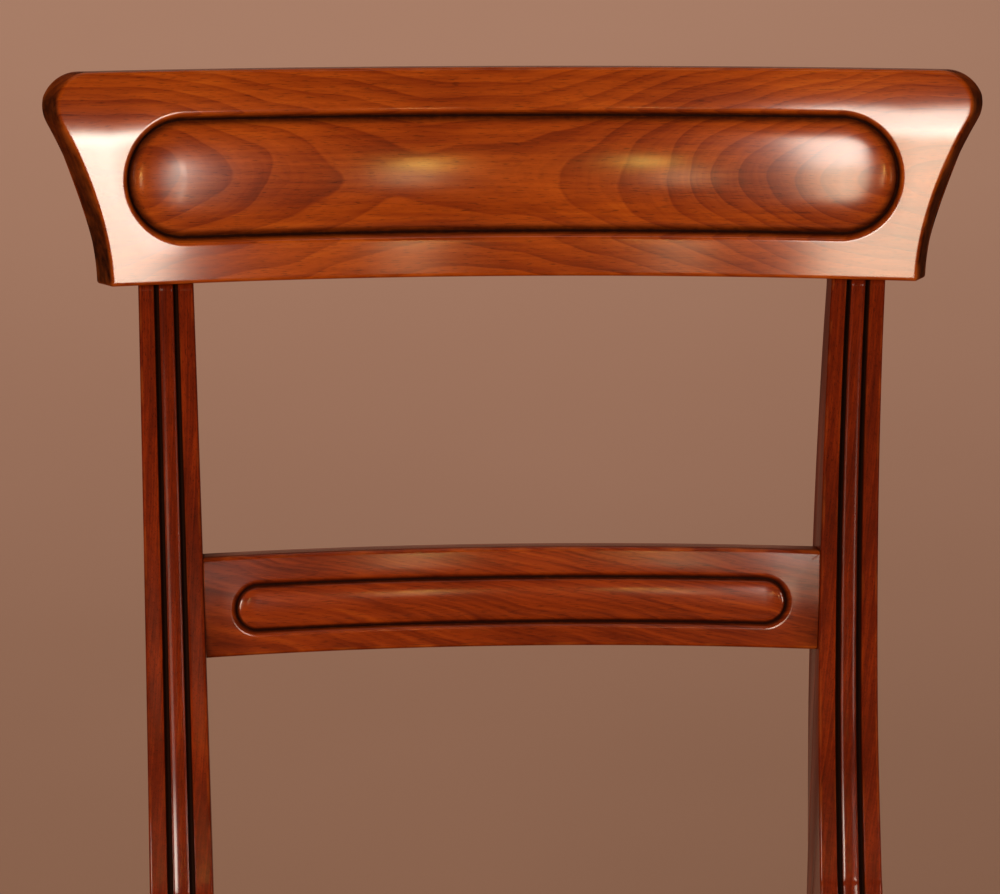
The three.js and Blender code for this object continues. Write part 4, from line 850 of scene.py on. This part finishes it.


# Polished mahogany. The grain runs along the first axis of the coordinates, in metres.
# Growth rings are the distance from a pith line that rises and dips behind the surface,
# so they nest as flames; each ring darkens to a sharp edge. Fibre streaks follow the
# rings, and pores, worn edges and wax with painted shade in the hollows lie over them.
def mahogany(name, turn, values):
    material, shader, add = newMaterial(name, Coat_IOR=1.65)
    if turn:
        where = add("Mapping", add("TexCoord", out=3), Rotation=turn)
    else:
        where = add("Attribute", out=1, attribute_name="board")
    wax, wear, dull = (add("Attribute", out=2, attribute_name=key) for key in ("wax", "wear", "dull"))
    drift = add("VectorMath MULTIPLY", where, values["driftScale"])
    drift = add("TexNoise", Vector=drift, Scale=1, Detail=3, out=1)
    drift = add("VectorMath SUBTRACT", drift, (0.5, 0.5, 0.5))
    bent = add("VectorMath ADD", where, add("VectorMath MULTIPLY", drift, values["warp"]))
    along, across, deep = add("SeparateXYZ", bent).node.outputs
    wave = add("Math COSINE", add("Math MULTIPLY_ADD", along, values["flameRate"], values["flameShift"]))
    height = add("Math MULTIPLY_ADD", wave, values["flameRise"], add("Math ADD", deep, values["pithDepth"]))
    height = add("Math MULTIPLY_ADD", along, values["flameTilt"], height)
    side = add("Math MULTIPLY_ADD", along, values["lean"], add("Math SUBTRACT", across, values["pithSide"]))
    radius = add("Math SQRT", add("Math MULTIPLY_ADD", height, height, add("Math MULTIPLY", side, side)))
    # Clouds whose scales are repeats a metre along, across and through the board
    follow = add("CombineXYZ", add("Math MULTIPLY", along, 24.0), add("Math MULTIPLY", radius, 800.0),
                 add("Math MULTIPLY", side, 60.0))
    streaks = add("TexNoise", Vector=follow, Scale=1, Detail=3)
    scales = (((14, 14, 14), 1), ((9, 32, 32), 2), ((22, 520, 520), 3), ((160, 2400, 2400), 2))
    shift, broad, fibres, pores = (
        add("TexNoise", Vector=add("VectorMath MULTIPLY", where, scale), Scale=1, Detail=detail)
        for scale, detail in scales)
    hollows, darkness, rubs, polish = (add("TexNoise", Vector=where, Scale=scale, Detail=detail)
                                    for scale, detail in ((28, 3), (260, 3), (55, 4), (70, 4)))
    rings = add("Math MULTIPLY", radius, 1 / values["ringPitch"])
    ring = add("Math FRACT", add("Math MULTIPLY_ADD", shift, values["ringShift"], rings))
    ring = add("ValToRGB", ring, stops=[(0.0, 0.9), (0.35, 0.8), (0.7, 0.45), (0.93, 0.12), (1.0, 0.55)])
    fineRing = add("Math FRACT", add("Math MULTIPLY", radius, 1 / values["finePitch"]))
    figure = add("Math MULTIPLY", broad, values["broadPart"])
    for key, part in dict(ringPart=ring, streakPart=streaks, finePart=fineRing, fibrePart=fibres).items():
        figure = add("Math MULTIPLY_ADD", part, values[key], figure)
    base = add("ValToRGB", figure, stops=values["stops"])
    pores = add("ValToRGB", pores, stops=[(0.34, 1.0), (0.42, 0.0)])
    # Wax with painted shade in the hollows, made a little uneven, darkens the colour and dulls the polish
    waxed = add("Math MULTIPLY", wax, add("Math MULTIPLY_ADD", darkness, 0.4, 0.85), use_clamp=True)
    rubbed = add("ValToRGB", rubs, stops=[(0.46, 0.0), (0.66, values["wearPart"])])
    porous = add("Math MULTIPLY", pores, values["porePart"])
    for key, share in dict(pore=porous, wax=waxed, worn=add("Math MULTIPLY", wear, rubbed)).items():
        base = add("Mix", numbered={0: share, 6: base, 7: values[key]}, out=2, data_type="RGBA")
    rough = add("Math MULTIPLY_ADD", waxed, 0.25, add("Math MULTIPLY_ADD", polish, 0.12, values["rough"]))
    dulled = add("Math MULTIPLY_ADD", waxed, 1.5, add("Math MULTIPLY_ADD", wear, 0.7, dull))
    kept = add("Math SUBTRACT", 1.0, dulled, use_clamp=True)
    relief = add("Math MULTIPLY_ADD", pores, -0.5, add("Math MULTIPLY", streaks, 0.35))
    fine = add("Bump", Strength=0.1, Distance=0.0002, Height=relief)
    bump = add("Bump", Strength=0.2, Distance=0.0006, Height=hollows, Normal=fine)
    setInputs(shader, {"Base Color": base, "Roughness": rough, "Normal": bump,
                       "Coat Roughness": values["coatRough"], "Specular IOR Level": values["specular"],
                       "Coat Weight": add("Math MULTIPLY", kept, values["coat"])})
    return material


# The crest rail's figured wood, the striped wood of the mid rail and the darker, straighter
# wood of the frame. Lengths are in metres.
# The wax colour in these woods also stands for painted shade in the moats and grooves
figuredWood = dict(
    coat=1.0, coatRough=0.15, specular=0.02, rough=0.36, driftScale=(7, 14, 14), warp=(0.022, 0.009, 0.009),
    flameRate=12.0, flameShift=0.0, flameRise=0.024, flameTilt=-0.085, lean=0.0, pithDepth=0.05,
    pithSide=0.051, ringPitch=0.0055, ringShift=2.2, finePitch=0.0012, ringPart=0.17, broadPart=0.5,
    streakPart=0.14, finePart=-0.02, fibrePart=0.3, porePart=0.45, wearPart=0.5,
    stops=[(0.3, "#4e1704"), (0.48, "#752903"), (0.66, "#933d06"), (0.9, "#b0570f")],
    pore="#1c0702", wax="#1c0803", worn="#9c4a17")
stripedWood = dict(
    figuredWood, coat=0.8, coatRough=0.17, flameRate=9.0, flameRise=0.006, flameTilt=0.0, lean=0.24,
    pithDepth=0.08, pithSide=-0.06, ringPitch=0.007, ringPart=0.1, streakPart=0.5, fibrePart=0.06,
    stops=[(0.3, "#3c0f02"), (0.48, "#611d03"), (0.66, "#7e2c05"), (0.9, "#9c420b")])
frameWood = dict(
    coat=0.7, coatRough=0.15, specular=0.02, rough=0.38, driftScale=(5, 20, 20), warp=(0.02, 0.004, 0.004),
    flameRate=9.0, flameShift=0.8, flameRise=0.004, flameTilt=0.0, lean=0.0, pithDepth=0.5, pithSide=0.03,
    ringPitch=0.006, ringShift=0.5, finePitch=0.0013, ringPart=0.08, broadPart=0.42, streakPart=0.3,
    finePart=-0.05, fibrePart=0.2, porePart=0.5, wearPart=0.4,
    stops=[(0.3, "#3c0d02"), (0.48, "#581703"), (0.66, "#782504"), (0.9, "#933509")],
    pore="#150501", wax="#1b0a04", worn="#8a3d12")


# Plain wood of the hidden parts: sawn beech with its short flecks
def beechWood():
    material, shader, add = newMaterial("sawnBeech", Roughness=0.68)
    where = add("TexCoord", out=3)
    grain = add("TexNoise", Vector=add("Mapping", where, Scale=(30, 30, 260)), Scale=1, Detail=4)
    base = add("ValToRGB", grain, stops=[(0.3, "#8a6238"), (0.55, "#a97f4f"), (0.8, "#bd9564")])
    flecks = add("TexVoronoi", Vector=add("Mapping", where, Scale=(140, 140, 900)), Scale=1)
    flecks = add("ValToRGB", flecks, stops=[(0.12, 0.6), (0.2, 0.0)])
    saw = add("TexNoise", Vector=where, Scale=420, Detail=3)
    setInputs(shader, {
        "Base Color": add("Mix", numbered={0: flecks, 6: base, 7: "#6e4a28"}, out=2, data_type="RGBA"),
        "Normal": add("Bump", Strength=0.3, Distance=0.0003, Height=saw)})
    return material


# A plain weave: two crossing sets of yarns, the height of each a half wave across its own
# direction, one over the other in turn. Pitch in metres.
def wovenCloth(name, pitch, dark, light, strength, onBoard=False):
    material, shader, add = newMaterial(name, Roughness=0.92, Sheen_Weight=0.15, Specular_IOR_Level=0.2)
    where = add("Attribute", out=1, attribute_name="board") if onBoard else add("TexCoord", out=3)
    sides = add("SeparateXYZ", where).node.outputs
    waves = [add("Math SINE", add("Math MULTIPLY", sides[axis], math.pi / pitch)) for axis in (0, 1)]
    height = add("Math ABSOLUTE", add("Math MULTIPLY", *waves))
    slub = add("TexNoise", Vector=add("Mapping", where, Scale=(90, 700, 90)), Scale=1, Detail=3)
    shade = add("Math MULTIPLY_ADD", height, 0.55, add("Math MULTIPLY", slub, 0.6))
    setInputs(shader, {"Base Color": add("ValToRGB", shade, stops=[(0.15, dark), (0.8, light)]),
                       "Normal": add("Bump", Strength=strength, Distance=0.0006, Height=height)})
    return material


# Curled hair stuffing: tangled dark fibres
def hairStuffing():
    material, shader, add = newMaterial("curledHair", Roughness=0.9)
    tangle = add("TexNoise", Vector=add("TexCoord", out=3), Scale=240, Detail=6, Distortion=2.5)
    base = add("ValToRGB", tangle, stops=[(0.35, "#1b120c"), (0.6, "#46331f"), (0.75, "#6b5135")])
    bump = add("Bump", Strength=0.8, Distance=0.001, Height=tangle)
    setInputs(shader, {"Base Color": base, "Normal": bump})
    return material


# Waxed cowhide: fine cells of grain, faint creases and paler and darker patches
def seatLeather():
    polish = dict(Coat_Weight=0.12, Coat_Roughness=0.3, Specular_IOR_Level=0.4)
    material, shader, add = newMaterial("waxedCowhide", **polish)
    where = add("TexCoord", out=3)
    cells = add("TexVoronoi", Vector=where, Scale=620, feature="DISTANCE_TO_EDGE")
    cracks = add("ValToRGB", cells, stops=[(0.0, 0.0), (0.12, 1.0)])
    creased = add("Mapping", where, Scale=(35, 60, 35))
    creases = add("TexNoise", Vector=creased, Scale=1, Detail=6, Distortion=1.2)
    patches = add("TexNoise", Vector=where, Scale=11, Detail=4)
    base = add("ValToRGB", patches, stops=[(0.3, "#2a140b"), (0.55, "#3f2013"), (0.78, "#55301d")])
    shade = add("ValToRGB", cracks, stops=[(0.0, 0.55), (1.0, 1.0)])
    base = add("Mix", numbered={0: 1.0, 6: base, 7: shade}, out=2, data_type="RGBA", blend_type="MULTIPLY")
    grain = add("Bump", Strength=0.35, Distance=0.0003, Height=cracks)
    setInputs(shader, {"Base Color": base, "Roughness": add("Math MULTIPLY_ADD", patches, 0.25, 0.36),
                       "Normal": add("Bump", Strength=0.4, Distance=0.0008, Height=creases, Normal=grain)})
    return material


# Old steel of the screws and tacks, brown in patches
def oldSteel():
    material, shader, add = newMaterial("oldSteel", Metallic=1.0)
    rust = add("TexNoise", Vector=add("TexCoord", out=3), Scale=900, Detail=5)
    setInputs(shader, {"Base Color": add("ValToRGB", rust, stops=[(0.4, "#4a3a2e"), (0.6, "#8a8178")]),
                       "Roughness": add("Math MULTIPLY_ADD", rust, -0.4, 0.7)})
    return material


quarterTurn = math.pi / 2
figured = mahogany("frenchPolishedFiguredMahogany", None, figuredWood)
striped = mahogany("frenchPolishedStripedMahogany", None, stripedWood)
upright = mahogany("frenchPolishedMahoganyUpright", (0, quarterTurn, 0), frameWood)
lengthwise = mahogany("frenchPolishedMahoganySide", (0, 0, quarterTurn), frameWood)
sideways = mahogany("frenchPolishedMahoganyCross", (0, 0, 0), frameWood)
beech = beechWood()
jute = wovenCloth("juteWebbing", 0.0016, "#4e3d24", "#a98d5e", 0.7, onBoard=True)
sacking = wovenCloth("juteHessian", 0.0013, "#5d4a2c", "#b29868", 0.7)
lining = wovenCloth("blackCottonLining", 0.0006, "#0b0a09", "#2b2724", 0.4)
hair = hairStuffing()
leather = seatLeather()
steel = oldSteel()
print("materials made")

midLevels = -mid["belowCrest"] + np.array([1, 0.5, 0]) * mid["height"] * math.cos(mid["rake"])
midInner = uprightOuter(midLevels) - uprightWidth(midLevels) - shutJoint
midHalves = bendRadius * np.arcsin(midInner / bendRadius)
midFoot = (-mid["forward"], crestFoot - mid["belowCrest"])
backHalf = uprightOuter(-railToCrest - rails["height"]) - stile["hipWidth"] - jointGap
edge = rails["edge"]
frontSpan = (frontRailBackY - rails["frontThickness"], frontRailBackY)
backSpan = (backRailFrontY, backRailFrontY + rails["backThickness"])
pieces = {
    "crest_rail": panelledRail("crestRailDetail", crest, crestPanel, crestEnds(), (0, crestFoot), figured),
    "mid_rail": panelledRail("midRailDetail", mid, midPanel, midEnds(*midHalves), midFoot, striped, True),
    "front_rail": straightRail("frontRailDetail", blockInner - jointGap, *frontSpan,
                               (edge, edge, railRecess, edge), sideways),
    "back_rail": straightRail("backRailDetail", backHalf, *backSpan, (edge,) * 4, sideways),
}
for side, hand in ((-1, "left"), (1, "right")):
    pieces[hand + "_back_upright"] = uprightMesh(hand + "UprightDetail", side, upright)
    pieces[hand + "_side_rail"] = sideRailMesh(hand + "SideRailDetail", side, lengthwise)
    pieces[hand + "_front_leg"] = frontLegMesh(hand + "FrontLegDetail", side, upright)
for obj in pieces.values():
    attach(obj, "frame")
print("frame pieces made")

padded = {"seat_cover": seatCoverMesh(leather), "stuffing_pad": stuffingPad(hair)}
liningBottom = coverBottom + seat["cover"] - seat["cloth"]
cloths = {
    "hessian": planSheet("hessianDetail", barInset + jointGap, hessianBottom, sacking),
    "dust_cover": planSheet("dustCoverDetail", seat["tuck"] + seat["edgeGap"], liningBottom, lining, sag=1.2),
}
# Three straps each way, every second one over the one that it crosses in the middle
endInset = barInset + seat["barWidth"] / 4
alongHalf = (seatBackY - seatFrontY) / 2 - endInset
for number, place in enumerate((-1, 0, 1), 1):
    over = 1 if place else -1
    y = seatMiddleY + place * seat["pitchAlong"]
    half = railInner(y - seat["webWidth"] / 2) - seat["edgeGap"] - endInset - seat["webThickness"]
    x, name = place * seat["pitchAcross"], "WebDetail%d" % number
    cloths["webbing_lengthwise_%d" % number] = webStrap(
        "lengthwise" + name, x, alongHalf, seat["pitchAlong"], over, False, jute)
    cloths["webbing_crosswise_%d" % number] = webStrap(
        "crosswise" + name, y, half, seat["pitchAcross"], -over, True, jute)
tacks = tackHeads("underTacks", seat["tuck"] - 4.5, coverBottom + 0.1, steel, spacing=18, radius=2.1)
for obj in (*padded.values(), *cloths.values(), tacks):
    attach(obj, "seat")
print("seat pieces made")

# The nodes that no piece replaces stay as they are: blocks, bearers, seat bars and screws
pieces.update(padded, **cloths)
for node, obj in pieces.items():
    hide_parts(node)
for name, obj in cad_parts.items():
    if name not in pieces:
        obj.data.materials.clear()
        obj.data.materials.append(steel if "screw" in name else beech)
print("nodes dressed")

# Soft studio light as areas, placed from the middle of the back by turn to the right of
# straight ahead and rise above it in degrees, with distance, width, height and watts. Two
# tall windows make the pale patches at the crest rail's ends, small warm lamps and the
# sheens below them its four glints, and two strips the lines on the beads at the knees;
# the rest is fill from above and behind, which looks at the wall.
middle = Vector((0, 0.24, 0.82))
wall = Vector((0, 4.2, 0))
lights = [
    ("windowRightHigh", 40, 9.5, 2.2, 0.46, 0.25, 7.2, "#ffefdf", middle),
    ("windowRightLow", 40, 2.8, 2.2, 0.46, 0.26, 5.3, "#ffebd2", middle),
    ("windowLeftHigh", -31, 18.5, 2.2, 0.78, 0.5, 19.6, "#ffefdf", middle),
    ("windowLeftLow", -31, 6.3, 2.2, 0.78, 0.44, 11, "#ffe7c6", middle),
    ("lampRight", 11.6, 13.6, 1.3, 0.03, 0.03, 0.24, "#ffcb61", middle),
    ("lampLeft", -5.4, 14.3, 1.3, 0.03, 0.03, 0.22, "#ffcb61", middle),
    ("sheenRight", 12.2, 9.4, 1.3, 0.08, 0.12, 0.16, "#ffd9a8", middle),
    ("sheenLeft", -8.0, 9.4, 1.3, 0.08, 0.12, 0.15, "#ffd9a8", middle),
    ("stripLeft", -36, 15.5, 0.94, 0.36, 0.1, 1.2, "#ffebd6", middle),
    ("stripRight", 40, 13, 0.94, 0.26, 0.1, 0.8, "#ffebd6", middle),
    ("fillAbove", 0, 78, 2.4, 1.6, 1.2, 5, "#fff1e2", middle),
    ("fillBack", 180, 40, 3.4, 3.0, 1.6, 62, "#fff1e2", wall),
]
for name, turn, rise, away, width, height, power, tint, target in lights:
    data = bpy.data.lights.new(name, "AREA")
    data.shape = "RECTANGLE"
    data.size, data.size_y = width, height
    data.energy = power
    data.color = colour(tint)[:3]
    obj = addObject(name, data)
    obj.visible_camera = False
    turn, rise = math.radians(turn), math.radians(rise)
    toward = Vector((math.sin(turn) * math.cos(rise), -math.cos(turn) * math.cos(rise), math.sin(rise)))
    place = middle + toward * away
    aim = (target - place).to_track_quat("-Z", "Y").to_matrix().to_4x4()
    obj.matrix_world = Matrix.Translation(place) @ aim

# The room is pale where the camera looks past the floor, soft for diffuse light and dim
# in the polish
world = bpy.data.worlds.new("softRoom")
bpy.context.scene.world = world
world.use_nodes = True
add = functools.partial(addNode, world.node_tree)
path = add("LightPath").node.outputs
seen = add("Math MULTIPLY", path["Is Camera Ray"], 0.5)
soft = add("Math MULTIPLY_ADD", path["Is Diffuse Ray"], 0.4, seen)
strength = add("Math ADD", soft, 0.012)
setInputs(world.node_tree.nodes["Background"], {"Color": "#e6d8cc", "Strength": strength})

# A plain pale warm floor, a little darker near the chair than farther back: that darkening is painted shade
floorMaterial, shader, add = newMaterial("paleFloor", Roughness=0.8, Specular_IOR_Level=0.2)
place = add("TexCoord", out=3)
mottle = add("Math MULTIPLY", add("TexNoise", Vector=place, Scale=1.6, Detail=3), 0.12)
# Painted shade: the colour darkens towards the chair
shade = add("Math MULTIPLY_ADD", add("SeparateXYZ", place, out=1), 0.2, mottle)
shade = add("ValToRGB", shade, stops=[(0.2, "#936f5b"), (0.43, "#a47e6c"), (0.75, "#b28c7a")])
setInputs(shader, {"Base Color": shade})
reach = 6.0
corners = [(-reach, -reach, 0), (reach, -reach, 0), (reach, reach, 0), (-reach, reach, 0)]
floor = bpy.data.meshes.new("floor")
floor.from_pydata(corners, [], [(0, 1, 2, 3)])
floor.materials.append(floorMaterial)
addObject("floor", floor)
bpy.context.scene.view_settings.view_transform = "Standard"
print("lights and floor set")
